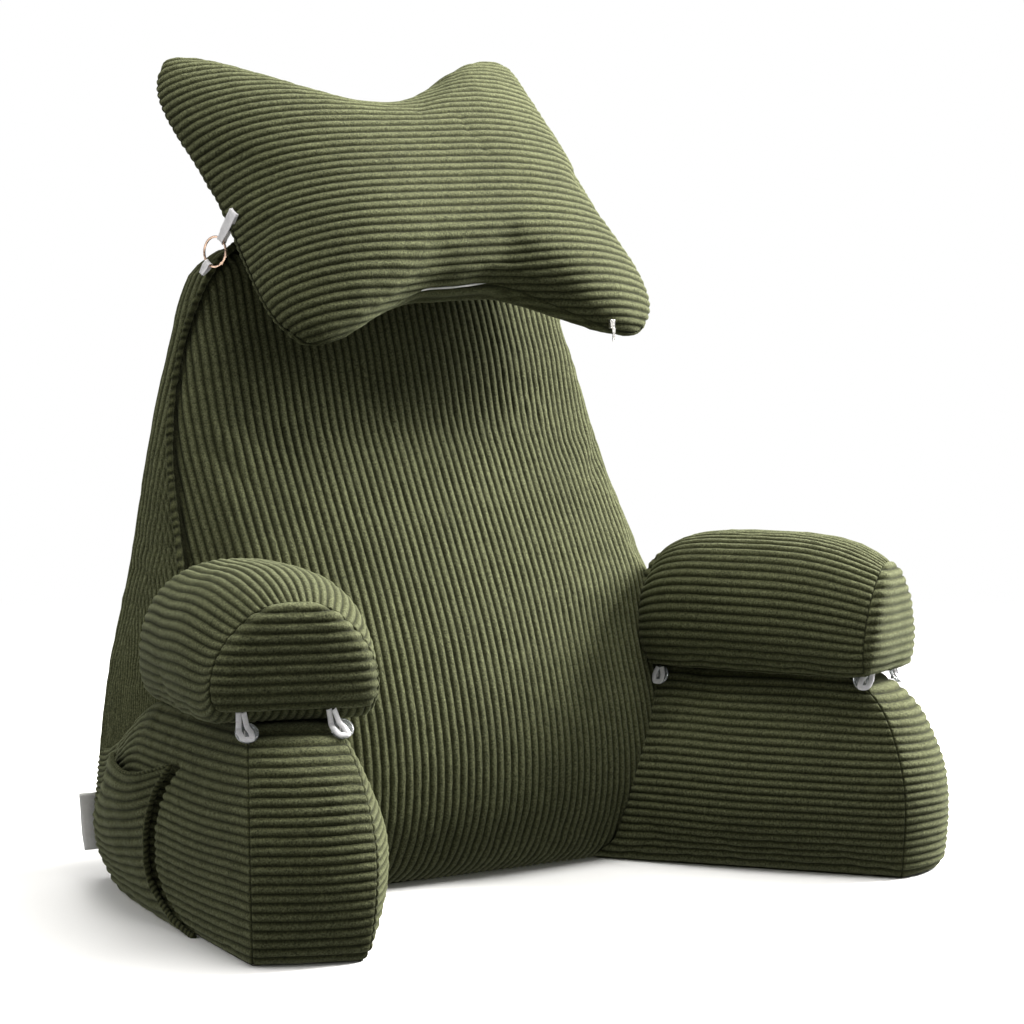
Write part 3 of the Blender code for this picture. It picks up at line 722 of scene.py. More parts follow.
class Nodes:
    """A material's nodes, with short ways to add to them."""

    def __init__(self, name: str) -> None:
        """Start a material of that name with a Principled shader.

        Args:
            name: The material's name.
        """
        self.material = bpy.data.materials.new(name)
        self.material.use_nodes = True
        self.tree = self.material.node_tree
        self.shader = self.tree.nodes["Principled BSDF"]

    def add(self, kind: str, **values: str) -> bpy.types.Node:
        """A new node, with some of its properties set.

        Args:
            kind: The node's type.
            **values: Properties by name.

        Returns:
            The node.
        """
        node = self.tree.nodes.new(kind)
        for key, value in values.items():
            setattr(node, key, value)
        return node

    def link(self, source: Socket, target: Socket) -> None:
        """Join two sockets."""
        self.tree.links.new(source, target)

    def place(self) -> Socket:
        """Coordinates in metres that move with the piece."""
        return self.add("ShaderNodeTexCoord").outputs["Object"]

    def noise(self, scale: float, detail: float = 2.0, stretch: Colour | None = None) -> Socket:
        """Noise through the piece, from 0 to 1.

        Args:
            scale: Waves to a metre.
            detail: How many finer layers it has.
            stretch: How much closer the waves lie on each axis.

        Returns:
            The socket.
        """
        node = self.add("ShaderNodeTexNoise")
        node.inputs["Scale"].default_value = scale
        node.inputs["Detail"].default_value = detail
        if stretch is None:
            self.link(self.place(), node.inputs["Vector"])
            return node.outputs["Fac"]
        mapping = self.add("ShaderNodeMapping")
        mapping.inputs["Scale"].default_value = stretch
        self.link(self.place(), mapping.inputs["Vector"])
        self.link(mapping.outputs["Vector"], node.inputs["Vector"])
        return node.outputs["Fac"]

    def spread(self, source: Socket, low: float, high: float, to_low: float, to_high: float) -> Socket:
        """A number moved from one range to another, and kept in it.

        Args:
            source: The number.
            low: Start of its range.
            high: End of its range.
            to_low: Start of the new range.
            to_high: End of the new range.

        Returns:
            The socket.
        """
        node = self.add("ShaderNodeMapRange")
        for key, value in (("From Min", low), ("From Max", high), ("To Min", to_low), ("To Max", to_high)):
            node.inputs[key].default_value = value
        self.link(source, node.inputs["Value"])
        return node.outputs["Result"]

    def value(self, name: str) -> Socket:
        """A number kept on the piece's points."""
        return self.add("ShaderNodeAttribute", attribute_name=name).outputs["Fac"]

    def maths(self, operation: str, a: Socket, b: Socket | float) -> Socket:
        """Two numbers, added, multiplied or raised.

        Args:
            operation: What is done.
            a: The first number.
            b: The second.

        Returns:
            The socket.
        """
        node = self.add("ShaderNodeMath", operation=operation)
        self.link(a, node.inputs[0])
        if isinstance(b, (int, float)):
            node.inputs[1].default_value = b
        else:
            self.link(b, node.inputs[1])
        return node.outputs[0]

    def mix(self, share: Socket, a: Colour | Socket, b: Colour | Socket, blend: str = "MIX") -> Socket:
        """Two colours mixed by a share.

        Args:
            share: How much of the second there is.
            a: The first colour.
            b: The second.
            blend: How they mix.

        Returns:
            The socket.
        """
        node = self.add("ShaderNodeMix", data_type="RGBA", blend_type=blend)
        self.link(share, node.inputs[0])
        for socket, colour in ((node.inputs[6], a), (node.inputs[7], b)):
            if isinstance(colour, tuple):
                socket.default_value = (*colour, 1.0)
            else:
                self.link(colour, socket)
        return node.outputs[2]

    def bump(self, height: Socket, distance: float, strength: float = 1.0) -> None:
        """Small relief on the whole piece.

        Args:
            height: The relief, from 0 to 1.
            distance: Its height.
            strength: How much of it shows.
        """
        node = self.add("ShaderNodeBump")
        node.inputs["Strength"].default_value = strength
        node.inputs["Distance"].default_value = distance
        self.link(height, node.inputs["Height"])
        self.link(node.outputs["Normal"], self.shader.inputs["Normal"])

    def set(self, **values: float | tuple) -> None:
        """Shader sockets that are the same all over, by name with spaces as underscores."""
        for key, value in values.items():
            self.shader.inputs[key.replace("_", " ")].default_value = value


@dataclass(frozen=True)
class Corduroy:
    """Wide-rib corduroy: dark between the ribs as painted shade, a brushed and speckled pile on top."""

    name: str
    # The groove colour is painted shade between the ribs; the slope and crest are the pile's own colour.
    groove_shade: Colour = (0.0150, 0.0162, 0.0068)
    slope: Colour = (0.0460, 0.0494, 0.0210)
    crest: Colour = (0.0900, 0.0960, 0.0490)
    speckle: float = 0.55
    patch: float = 0.10
    grain_scale: float = 620.0
    fluff_scale: float = 260.0
    patch_scale: float = 16.0
    roughness: float = 0.92
    sheen: Colour = (0.62, 0.68, 0.42)

    def make(self) -> Material:
        """The material.

        Returns:
            The material.
        """
        n = Nodes(self.name)
        pile = n.value("pile")
        grain = n.noise(self.grain_scale, 3.0)
        fluff = n.noise(self.fluff_scale, 2.0)
        rough_edge = n.maths("ADD", pile, n.spread(fluff, 0.3, 0.7, -0.10, 0.10))
        # Low pile values get the groove colour, painted shade; they also carry the painted shade of creases,
        # tucks, folds and the backrest's top panel.
        low = n.mix(n.spread(rough_edge, 0.05, 0.65, 0.0, 1.0), self.groove_shade, self.slope)
        colour = n.mix(n.spread(rough_edge, 0.60, 1.0, 0.0, 1.0), low, self.crest)
        speckle = n.spread(grain, 0.30, 0.70, 1 - self.speckle, 1 + self.speckle)
        patches = n.spread(n.noise(self.patch_scale, 2.0), 0.3, 0.7, 1 - self.patch, 1 + self.patch)
        lint = n.spread(n.noise(self.fluff_scale, 1.0), 0.72, 0.80, 1.0, 1.35)
        worn = n.maths("MULTIPLY", n.maths("MULTIPLY", speckle, patches), lint)
        # Painted seam shade: the colour darkens to 0.7 right at a seam.
        seam = n.spread(n.value("seam"), 0.3, 1.0, 1.0, 0.7)
        shade = n.add("ShaderNodeVectorMath", operation="SCALE")
        n.link(colour, shade.inputs[0])
        n.link(n.maths("MULTIPLY", worn, seam), shade.inputs["Scale"])
        n.link(shade.outputs[0], n.shader.inputs["Base Color"])
        n.bump(n.maths("ADD", grain, fluff), 0.0006, 0.8)
        n.set(Roughness=self.roughness, Specular_IOR_Level=0.10, Sheen_Weight=0.12, Sheen_Roughness=0.45,
              Sheen_Tint=(*self.sheen, 1.0))
        return n.material


@dataclass(frozen=True)
class Satin:
    """Woven ribbon or tape: fine ridges across it and a soft shine."""

    name: str
    colour: Colour = (0.93, 0.92, 0.92)
    shadow: Colour = (0.68, 0.67, 0.69)
    roughness: float = 0.45

    def make(self) -> Material:
        """The material.

        Returns:
            The material.
        """
        n = Nodes(self.name)
        weave = n.noise(2600.0, 1.0, (1.0, 1.0, 0.35))
        soft = n.noise(160.0, 2.0)
        n.link(n.mix(n.spread(n.maths("ADD", weave, soft), 0.7, 1.3, 0.0, 1.0), self.shadow, self.colour),
               n.shader.inputs["Base Color"])
        n.link(n.spread(soft, 0.3, 0.7, self.roughness - 0.1, self.roughness + 0.15),
               n.shader.inputs["Roughness"])
        n.bump(weave, 0.0002, 0.5)
        n.set(Sheen_Weight=0.2, Sheen_Roughness=0.3)
        return n.material


@dataclass(frozen=True)
class Metal:
    """Plated metal with faint handling marks."""

    name: str
    colour: Colour
    roughness: float = 0.22

    def make(self) -> Material:
        """The material.

        Returns:
            The material.
        """
        n = Nodes(self.name)
        marks = n.noise(700.0, 4.0)
        dark = tuple(0.82 * c for c in self.colour)
        n.link(n.mix(n.spread(marks, 0.35, 0.65, 0.0, 1.0), dark, self.colour), n.shader.inputs["Base Color"])
        n.link(n.spread(marks, 0.3, 0.7, self.roughness - 0.06, self.roughness + 0.12),
               n.shader.inputs["Roughness"])
        n.bump(marks, 0.00008, 0.4)
        n.set(Metallic=1.0)
        return n.material


@dataclass(frozen=True)
class ClearPlastic:
    """Moulded clear plastic, a little cloudy."""

    name: str
    colour: Colour = (0.86, 0.89, 0.90)
    cloudy: Colour = (0.74, 0.78, 0.80)

    def make(self) -> Material:
        """The material.

        Returns:
            The material.
        """
        n = Nodes(self.name)
        cloud = n.noise(240.0, 3.0)
        n.link(n.mix(n.spread(cloud, 0.3, 0.7, 0.0, 1.0), self.cloudy, self.colour),
               n.shader.inputs["Base Color"])
        n.link(n.spread(cloud, 0.3, 0.7, 0.08, 0.20), n.shader.inputs["Roughness"])
        n.bump(cloud, 0.0001, 0.3)
        n.set(IOR=1.49, Transmission_Weight=0.72, Coat_Weight=0.4)
        return n.material


@dataclass(frozen=True)
class Finishes:
    """Every finish on the pillow."""

    corduroy: Corduroy = Corduroy("moss_corduroy")
    # The overlocked edges' darker colours are partly their own darker thread and partly painted shade of
    # their shadowed sides.
    seam_edge: Corduroy = Corduroy("overlocked_edge", (0.0110, 0.0120, 0.0050), (0.0300, 0.0325, 0.0135),
                                   (0.0600, 0.0640, 0.0290), speckle=0.4)
    dark_cloth: Corduroy = Corduroy("base_cloth", slope=(0.017, 0.018, 0.008), crest=(0.022, 0.024, 0.011))
    ribbon: Satin = Satin("white_satin_ribbon")
    tape: Satin = Satin("woven_label_tape", (0.95, 0.94, 0.92), (0.84, 0.83, 0.80), 0.7)
    thread: Satin = Satin("white_thread", (0.75, 0.74, 0.72), (0.55, 0.54, 0.52), 0.7)
    zip_coil: Satin = Satin("zip_coil", (0.97, 0.97, 0.95), (0.84, 0.84, 0.81), 0.4)
    ring_metal: Metal = Metal("rose_gold", (0.64, 0.45, 0.34))
    pull_metal: Metal = Metal("plated_pull", (0.78, 0.76, 0.72), 0.28)
    clear_button: ClearPlastic = ClearPlastic("clear_button_plastic")


# ---- backrest -------------------------------------------------------------------------------


@dataclass
class Backrest:
    """The crowned backrest cushion: front, two side panels, back, top and base."""

    rows: Table = (           # height, half width, front seam's y, crown, back's y
        (0.0000, 0.256, -0.086, 0.008, 0.078),
        (0.0216, 0.266, -0.096, 0.030, 0.086),
        (0.1008, 0.276, -0.090, 0.050, 0.089),
        (0.1950, 0.271, -0.060, 0.062, 0.088),
        (0.2950, 0.256, -0.010, 0.070, 0.084),
        (0.4000, 0.239, 0.036, 0.066, 0.079),
        (0.4900, 0.216, 0.050, 0.054, 0.079),
        (0.5500, 0.193, 0.040, 0.022, 0.081),
        (0.5720, 0.164, 0.050, 0.008, 0.076),
    )
    pitch: float = 0.0080
    side_pitch: float = 0.0076
    side_bulge: float = 0.004
    back_crown: float = 0.012
    rear_spread: float = 0.014    # how much wider the back is than the front seams, near the floor
    edge_round: float = 0.020     # how much fuller the front is than an arc, right up to its seams
    right_fuller: float = 0.42    # how much more of that the viewer's right has, above the arm
    dimple: float = 0.0008
    crease_at: float = 0.178      # a crease low on the viewer's right, painted darker as shade
    crease_depth: float = 0.0045
    tuck_width: float = 0.0055    # the front's edge is tucked in along its seams, and painted nearly black there as shade
    tuck_depth: float = 0.0045
    filling: Filling = Filling(3.0, 0.006, 0.004, 0.8)
    seed: int = 100

    @property
    def height(self) -> float:
        """The top panel's height."""
        return self.rows[-1][0]

    def front(self, turn: Array, height: Array) -> Array:
        """Points on the front panel.

        Args:
            turn: -1 at the viewer's left seam to 1 at the right one.
            height: Over the floor.

        Returns:
            The points.
        """
        half_width, seam_y, crown, _ = read_table(self.rows, height)
        fuller = self.edge_round * (0.35 * ease((height - 0.02) / 0.08) + 0.65 * ease((height - 0.17) / 0.10))
        fuller = fuller * ease((0.57 - height) / 0.10)        # none at the floor or at the top
        crown = np.maximum(crown - fuller, 0.004)
        half_angle = 2 * np.arctan(crown / half_width)
        angle = turn * half_angle
        x = half_width * np.sin(angle) / np.sin(half_angle)
        y = seam_y - crown * (np.cos(angle) - np.cos(half_angle)) / (1 - np.cos(half_angle))
        more = self.right_fuller * ease(turn / 0.6) * ease((height - 0.20) / 0.08)
        rise = fuller * (1 - np.abs(turn) ** 15) * (1 + more)
        return np.stack([x + rise * np.sin(angle), y - rise * np.cos(angle), height + 0 * x], -1)

    def seam_normal(self, height: Array) -> Array:
        """Way that the front faces at the viewer's left seam.

        Args:
            height: Over the floor.

        Returns:
            Unit vectors.
        """
        half_width, _, crown, _ = read_table(self.rows, height)
        half_angle = 2 * np.arctan(crown / half_width)
        return np.stack([-np.sin(half_angle), -np.cos(half_angle), 0 * half_angle], -1)

    def flank(self, share: Array, height: Array, side: Side) -> Array:
        """Points on a side panel, from the front seam, 0, to the back, 1.

        Args:
            share: The way across it.
            height: Over the floor.
            side: Which side.

        Returns:
            The points.
        """
        half_width, seam_y, _, back_y = read_table(self.rows, height)
        x = side.value * (half_width + self.spread(height) * share + self.side_bulge * np.sin(pi * share))
        return np.stack([x, lerp(seam_y, back_y, share), height + 0 * x], -1)

    def back(self, share: Array, height: Array) -> Array:
        """Points on the back panel, from the viewer's right, 0, to the left, 1.

        Args:
            share: The way across it.
            height: Over the floor.

        Returns:
            The points.
        """
        half_width, _, _, back_y = read_table(self.rows, height)
        half_width = half_width + self.spread(height)
        y = back_y + self.back_crown * np.sin(pi * np.clip(share, 0, 1)) ** 0.7
        return np.stack([lerp(half_width, -half_width, share), y, height + 0 * y], -1)

    def spread(self, height: Array) -> Array:
        """How far the back's edges stand out past the front seams."""
        return self.rear_spread * ease((0.32 - height) / 0.30)

    def lid(self, t: Array, s: Array, height: float, crown: float) -> Array:
        """Points that close the shell at a height: t from the viewer's left to right, s front to back.

        Args:
            t: -1 at the viewer's left to 1 at the right.
            s: 0 at the front to 1 at the back.
            height: Over the floor.
            crown: How far its middle rises.

        Returns:
            The points.
        """
        level = np.full(t.shape, height)
        points = lerp(self.front(t, level), self.back((1 - t) / 2, level), s[..., None])
        points[..., 0] += np.sign(t) * np.abs(t) ** 8 * self.side_bulge * np.sin(pi * s)
        points[..., 2] += crown * (1 - t ** 4) * np.sin(pi * s) ** 0.8
        return points

    def _side_phase(self, points: Array) -> Array:
        """Rib count over a side panel: parallel to the back edge, and crowding together above the arm.

        Args:
            points: The panel's fine points.

        Returns:
            The counts.
        """
        _, _, _, back_y = read_table(self.rows, np.clip(points[..., 2], 0, self.height))
        crowd = lerp(0.36, 1.0, ease((points[..., 2] - 0.12) / 0.17))
        return np.maximum(back_y - points[..., 1], 0) / (self.side_pitch * crowd)

    def _front_relief(self, points: Array, near: Array, count: Array) -> tuple:
        """A crease low on the viewer's right, and shallow dimples over the panel.

        Args:
            points: The panel's fine points.
            near: Their distance from the seams.
            count: Their rib count. Not used.

        Returns:
            Extra height, and painted shade in the crease and the tuck.
        """
        x, z = points[..., 0], points[..., 2]
        crease = np.exp(-((x - self.crease_at + 0.10 * (z - 0.06)) / 0.004) ** 2)
        crease = crease * ease((0.105 - z) / 0.05) * ease(z / 0.02)
        dimples = self.dimple * ripple(points, 0.20, 71) + 0.0002 * ripple(points, 0.08, 72)
        tuck = np.exp(-(near / self.tuck_width) ** 2) * ease((z - 0.20) / 0.05)
        sunk = self.tuck_depth * tuck * (1 - np.exp(-(near / HAND.seam_roll) ** 2))
        # Painted shade: the crease is darkened by up to 60% and the tuck along the seams to nearly black.
        return dimples - self.crease_depth * crease - sunk, (1 - 0.6 * crease) * (1 - 0.97 * tuck)

    def panels(self) -> list[Panel]:
        """The cut panels.

        Returns:
            The panels.
        """
        levels = np.linspace(0, self.height, 56)[:, None]
        turn = (0.55 * np.sin(np.linspace(-pi / 2, pi / 2, 75)) + 0.45 * np.linspace(-1, 1, 75))[None, :]
        share = np.linspace(0, 1, 15)[None, :]
        wide = np.linspace(0, 1, 45)[None, :]
        foot = np.where(levels < 0.012, 1.0, 0.0)
        front_hold = np.maximum(foot, 0.75 * ease((levels - 0.34) / 0.16))
        side = Panel(self.flank(share, levels, Side.RIGHT), 0, Run.UP, OPEN_FOOT, foot + 0.3 * (foot < 1),
                     phase=self._side_phase, samples=190, step=0.010)
        found = [
            Panel(self.front(turn, levels), 0, Run.UP, OPEN_FOOT, front_hold,
                  pitch=self.pitch, relief=self._front_relief),
            side,
            Panel(self.back(wide, levels), 0, Run.UP, OPEN_FOOT, foot, step=0.011, pitch=self.pitch),
            replace(side, grid=self.flank(1 - share, levels, Side.LEFT)),
        ]
        t, s = np.meshgrid(turn[0], np.linspace(0, 1, 7))
        # The top panel's tone is cut to 0.3: painted shade, as the top lies in deep shade.
        found.append(Panel(self.lid(t, s, self.height, 0.006), 42, Run.UP, hold=0.5,
                           relief=lambda points, near, count: (0 * near, 0.3 + 0 * near)))
        return found

    def base(self) -> Panel:
        """The flat panel that it stands on."""
        t, s = np.meshgrid(np.linspace(1, -1, 40), np.linspace(0, 1, 16))
        return base_panel(self.lid(t, s, 0.0, 0.0))

    def build(self, finishes: Finishes) -> None:
        """Make and dress the backrest."""
        make_cushion("backrest", self.panels(), self.filling, Side.LEFT, finishes.corduroy.make(), self.seed)
        make_base("backrest", self.base(), finishes.dark_cloth.make(), self.seed + 90)


# ---- arms -----------------------------------------------------------------------------------


@dataclass
class Arm:
    """A splayed, filled arm: outer, front, inner and top panels, modelled on the viewer's left."""

    side: Side
    backrest: Backrest
    rows: Table = (
        (0.00, 0.540, -0.294, -0.350, -0.372, -0.312, -0.275, 0.076, 0.000, 0.006, 0.002),
        (0.07, 0.545, -0.290, -0.356, -0.376, -0.318, -0.282, 0.080, 0.008, 0.012, 0.006),
        (0.45, 0.590, -0.287, -0.360, -0.379, -0.320, -0.293, 0.084, 0.018, 0.018, 0.012),
        (0.75, 0.690, -0.287, -0.342, -0.370, -0.304, -0.291, 0.084, 0.014, 0.016, 0.014),
        (0.92, 0.760, -0.286, -0.318, -0.358, -0.284, -0.2905, 0.082, 0.006, 0.007, 0.010),
        (1.00, 0.800, -0.280, -0.294, -0.345, -0.264, -0.2895, 0.078, -0.004, 0.000, 0.000),
    )     # share of the height, root's turn, x and y of the inner front, outer front and rear corners, bulges
    ribs: int = 25
    top: float = 0.180
    rear_drop: float = 0.060
    drop_start: float = -0.085
    drop_length: float = 0.165
    sewn_gap: float = 0.0011
    foot_spread: float = 0.0
    outer_hold: float = 0.35
    fold_ahead: float = 0.014     # the fold's place before the pocket, as a share of the outer panel
    fold_width: float = 0.0036
    fold_depth: float = 0.010
    filling: Filling = Filling(3.2, 0.008, 0.006, 0.85)
    seed: int = 200               # the right one's is 100 more

    def height_at(self, y: Array) -> Array:
        """Height of the arm's top over a place along it."""
        return self.top - self.rear_drop * ease((y - self.drop_start) / self.drop_length)

    def corners(self, share: Array) -> dict[str, Array]:
        """The plan's corners, in x and y, and its bulges at shares of the height.

        Args:
            share: Of the arm's height.

        Returns:
            The corners and bulges by name.
        """
        root, ix, iy, ox, oy, rx, ry, inner_bulge, outer_bulge, front_bulge = read_table(self.rows, share)
        height = share * self.top
        spread = self.foot_spread * (1 - share) ** 2
        ox, outer_bulge, front_bulge = ox - 0.6 * spread, outer_bulge + spread, front_bulge + 0.6 * spread
        return {
            "root": self.root(root, height)[..., :2],
            "inner": np.stack([ix, iy], -1),
            "outer": np.stack([ox, oy], -1),
            "rear": np.stack([rx, ry], -1),
            "inner_bulge": inner_bulge,
            "outer_bulge": outer_bulge,
            "front_bulge": front_bulge,
        }

    def root(self, turn: Array, height: Array) -> Array:
        """Points where the arm is sewn to the backrest's front panel.

        Args:
            turn: Over the front panel, away from the viewer's right.
            height: Over the floor.

        Returns:
            The points.
        """
        point = self.backrest.front(-turn, height)
        ahead = self.backrest.front(-turn + 1e-3, height)
        way = unit((ahead - point)[..., :2])
        out = np.stack([way[..., 1], -way[..., 0]], -1)
        return np.concatenate([point[..., :2] + out * self.sewn_gap, point[..., 2:]], -1)

    def wall(self, start: str, end: str, bulge: str, along: Array, share: Array) -> Array:
        """Points on one upright panel.

        Args:
            start: The corner that it runs from.
            end: The corner that it runs to.
            bulge: Which bulge it has.
            along: 0 to 1 between the corners.
            share: Of the arm's height.

        Returns:
            The points.
        """
        c = self.corners(share)
        way = unit(c[end] - c[start])
        out = np.stack([way[..., 1], -way[..., 0]], -1)
        swell = (c[bulge] * np.sin(pi * np.clip(along, 0, 1)) ** 0.8)[..., None]
        plan = lerp(c[start], c[end], along[..., None]) + out * swell
        return np.concatenate([plan, (share * self.height_at(plan[..., 1]))[..., None]], -1)

    def outer_point(self, along: Array, share: Array) -> tuple[Array, Array]:
        """Points and outward normals on the outer panel, rear 0 to front 1.

        Args:
            along: The way along it.
            share: Of the arm's height.

        Returns:
            Points, then normals.
        """
        point = self.wall("rear", "outer", "outer_bulge", along, share)
        step = 1e-3
        ahead = self.wall("rear", "outer", "outer_bulge", along + step, share)
        above = self.wall("rear", "outer", "outer_bulge", along, share + step)
        return point, unit(np.cross(ahead - point, above - point))

    def lid(self, t: Array, s: Array, share: float) -> Array:
        """Points that close the arm at a share of its height: t front to rear, s outer to inner.

        Args:
            t: 0 at the front to 1 at the rear.
            s: 0 outside to 1 inside.
            share: Of the arm's height.

        Returns:
            The points.
        """
        level = np.full(400, share)
        fine = np.linspace(0, 1, 400)
        outer = self.wall("rear", "outer", "outer_bulge", 1 - fine, level)
        inner = self.wall("inner", "root", "inner_bulge", fine, level)
        root_turn = read_table(self.rows, np.array([share]))[0][0]
        height = share * self.height_at(self.drop_start)
        seam = self.root(np.linspace(root_turn, 1.0, 120), np.full(120, height))
        flank = self.backrest.flank(np.linspace(0, 0.96, 120), np.full(120, height), Side.LEFT)
        flank[:, 0] -= self.sewn_gap
        path = np.concatenate([inner, seam[1:], flank[1:]])
        path[:, 2] = share * self.height_at(path[:, 1])
        edge = along_axis(outer[None], t[:, 0], 1)[0]
        length = reach(path[None], 1)[0]
        want = np.interp(t[:, 0], [0, 1], [0, length[-1]])
        far = np.stack([np.interp(want, length, path[:, i]) for i in range(3)], -1)
        points = lerp(edge[:, None], far[:, None], s[..., None])
        points[..., 2] = share * self.height_at(points[..., 1])
        return points

    def panels(self) -> list[Panel]:
        """The cut panels.

        Returns:
            The panels.
        """
        share = np.linspace(0, 1, 19)[:, None]
        edge = np.where(share < 0.03, 1.0, 0.0)
        found = []
        for start, end, bulge, columns in (("rear", "outer", "outer_bulge", 36),
                                           ("outer", "inner", "front_bulge", 10),
                                           ("inner", "root", "inner_bulge", 28)):
            along = np.linspace(0, 1, columns)[None, :]
            a, v = np.broadcast_arrays(along, share)
            hold = np.broadcast_to(edge, a.shape) + (self.outer_hold if start == "rear" else 0.0) * (1 - edge)
            if start == "rear":
                hold[:, 0] = 1.0
            if end == "root":
                hold[:, -1] = 1.0
            found.append(Panel(self.wall(start, end, bulge, a, v), self.ribs, Run.ROUND, OPEN_FOOT, hold,
                               step=0.006, relief=self._outer_relief if start == "rear" else None))
        t, s = np.meshgrid(np.linspace(0, 1, 30), np.linspace(0, 1, 9), indexing="ij")
        rim = (t < 0.01) | (s < 0.01) | (s > 0.99)
        found.append(Panel(self.lid(t, s, 1.0), 9, Run.UP, hold=np.where(rim, 0.55, 1.0), step=0.010))
        return found

    def _outer_relief(self, points: Array, near: Array, count: Array) -> tuple:
        """The deep fold in front of the pocket, on the viewer's left arm alone, painted nearly black as
        shade.

        Args:
            points: The panel's fine points.
            near: Their distance from the seams.
            count: Their rib count.

        Returns:
            Extra height and painted shade.
        """
        if self.side is Side.RIGHT:
            return 0 * near, 1 + 0 * near
        share = count / self.ribs
        width = reach(points, 1)
        low, mouth = Pocket.floor, Pocket.mouth_front
        front = Pocket.front_edge(np.clip((share - low) / (mouth - low), 0, 1)) + self.fold_ahead
        off = (width / width[:, -1:] - front) * width[:, -1:]
        depth = np.exp(-(off / self.fold_width) ** 2) * ease((mouth + 0.03 - share) / 0.06)
        depth = depth * ease(share / 0.04)
        # Painted shade: the fold's tone falls to 5% at its deepest.
        return -self.fold_depth * depth, 1 - 0.95 * depth

    def base(self) -> Panel:
        """The flat panel that it stands on."""
        t, s = np.meshgrid(np.linspace(0, 1, 30), np.linspace(1, 0, 9), indexing="ij")
        return base_panel(self.lid(t, s, 0.0))

    def build(self, finishes: Finishes) -> None:
        """Make and dress the arm.

        Args:
            finishes: The pillow's finishes.
        """
        node = f"arm_{self.side.word}"
        seed = self.seed + 100 * (self.side is Side.RIGHT)
        make_cushion(node, self.panels(), self.filling, self.side, finishes.corduroy.make(), seed)
        make_base(node, mirrored(self.base(), self.side), finishes.dark_cloth.make(), seed + 90)


# ---- pocket ---------------------------------------------------------------------------------


@dataclass
class Pocket:
    """Patch pocket on the outer side of the viewer's left arm, open at its sagging mouth."""

    arm: Arm
    mouth_rear: float = 0.83
    mouth_front: float = 0.77
    mouth_sag: float = 0.12
    floor: float = 0.012
    stand: float = 0.0030
    gape: float = 0.012
    cloth: float = 0.0016
    ribs: int = 15

    @staticmethod
    def front_edge(rise: Array) -> Array:
        """How far forward the pocket's sewn front edge lies, at a share of the pocket's height."""
        return read_table(((0.00, 0.70), (0.08, 0.60), (0.25, 0.515), (0.45, 0.52), (0.65, 0.55),
                           (0.85, 0.60), (1.00, 0.665)), rise)[0]

    @staticmethod
    def rear_edge(rise: Array) -> Array:
        """How far forward the pocket's rear edge lies, at a share of the pocket's height."""
        return read_table(((0.00, 0.17), (0.35, 0.07), (0.65, 0.11), (1.00, 0.24)), rise)[0]

    def layer(self, rows: int, columns: int) -> Array:
        """Points of the patch, standing off the arm.

        Args:
            rows: Rows of points.
            columns: Columns of points.

        Returns:
            The points.
        """
        rise, width = np.meshgrid(np.linspace(0, 1, rows), np.linspace(0, 1, columns), indexing="ij")
        along = lerp(self.rear_edge(rise), self.front_edge(rise), width)
        mouth = lerp(self.mouth_rear, self.mouth_front, width) - self.mouth_sag * np.sin(pi * width)
        point, normal = self.arm.outer_point(along, lerp(self.floor, mouth, rise))
        off = self.stand + self.gape * np.sin(pi * width) * rise ** 1.2
        return point + normal * off[..., None]

    def build(self, finishes: Finishes) -> None:
        """Make and dress the pocket.

        Args:
            finishes: The pillow's finishes.
        """
        grid = self.layer(28, 24)
        outside = Panel(grid, self.ribs, Run.ROUND, (False, False, False, False), step=0.005,
                        relief=lambda p, n, c: (0.0009 * ripple(p, 0.05, 41) - PUFF, 1 + 0 * n))
        points, tone, seam = outside.fine(400)
        inside = points - facing(points) * self.cloth
        rows, columns = points.shape[:2]
        count = rows * columns
        face = grid_faces(rows, columns, 0)
        rim = np.concatenate([np.arange(columns), np.arange(1, rows) * columns + columns - 1,
                              count - 2 - np.arange(columns - 1), (rows - 2 - np.arange(rows - 2)) * columns])
        ahead = np.roll(rim, -1)
        sides = np.stack([ahead, rim, rim + count, ahead + count], -1)
        quads = np.concatenate([face, face[:, ::-1] + count, sides])
        values = {"pile": np.concatenate([tone.ravel(), 0.5 + 0 * tone.ravel()]),
                  "seam": np.zeros(2 * count)}
        patch = mesh_object("pocket_patch", np.concatenate([points.reshape(-1, 3), inside.reshape(-1, 3)]),
                            quads, finishes.corduroy.make(), values)
        dress(patch, "pocket")
        self._edges(finishes, grid)
        LOG.info("pocket: %d faces", len(patch.data.polygons))

    def _edges(self, finishes: Finishes, grid: Array) -> None:
        """Overlocked front edge and the mouth's rolled hem.

        Args:
            finishes: The pillow's finishes.
            grid: The patch's points.
        """
        out = facing(grid)
        material = finishes.seam_edge.make()
        for name, path, normal, size in (
                ("pocket_front_edge", grid[:, -1], out[:, -1], (0.0030, 0.0026)),
                ("pocket_mouth_hem", grid[-1], out[-1], (0.0024, 0.0016))):
            dress(twisted(name, path + normal * 0.0006, normal, size, 0.0055, material, swell=0.35))


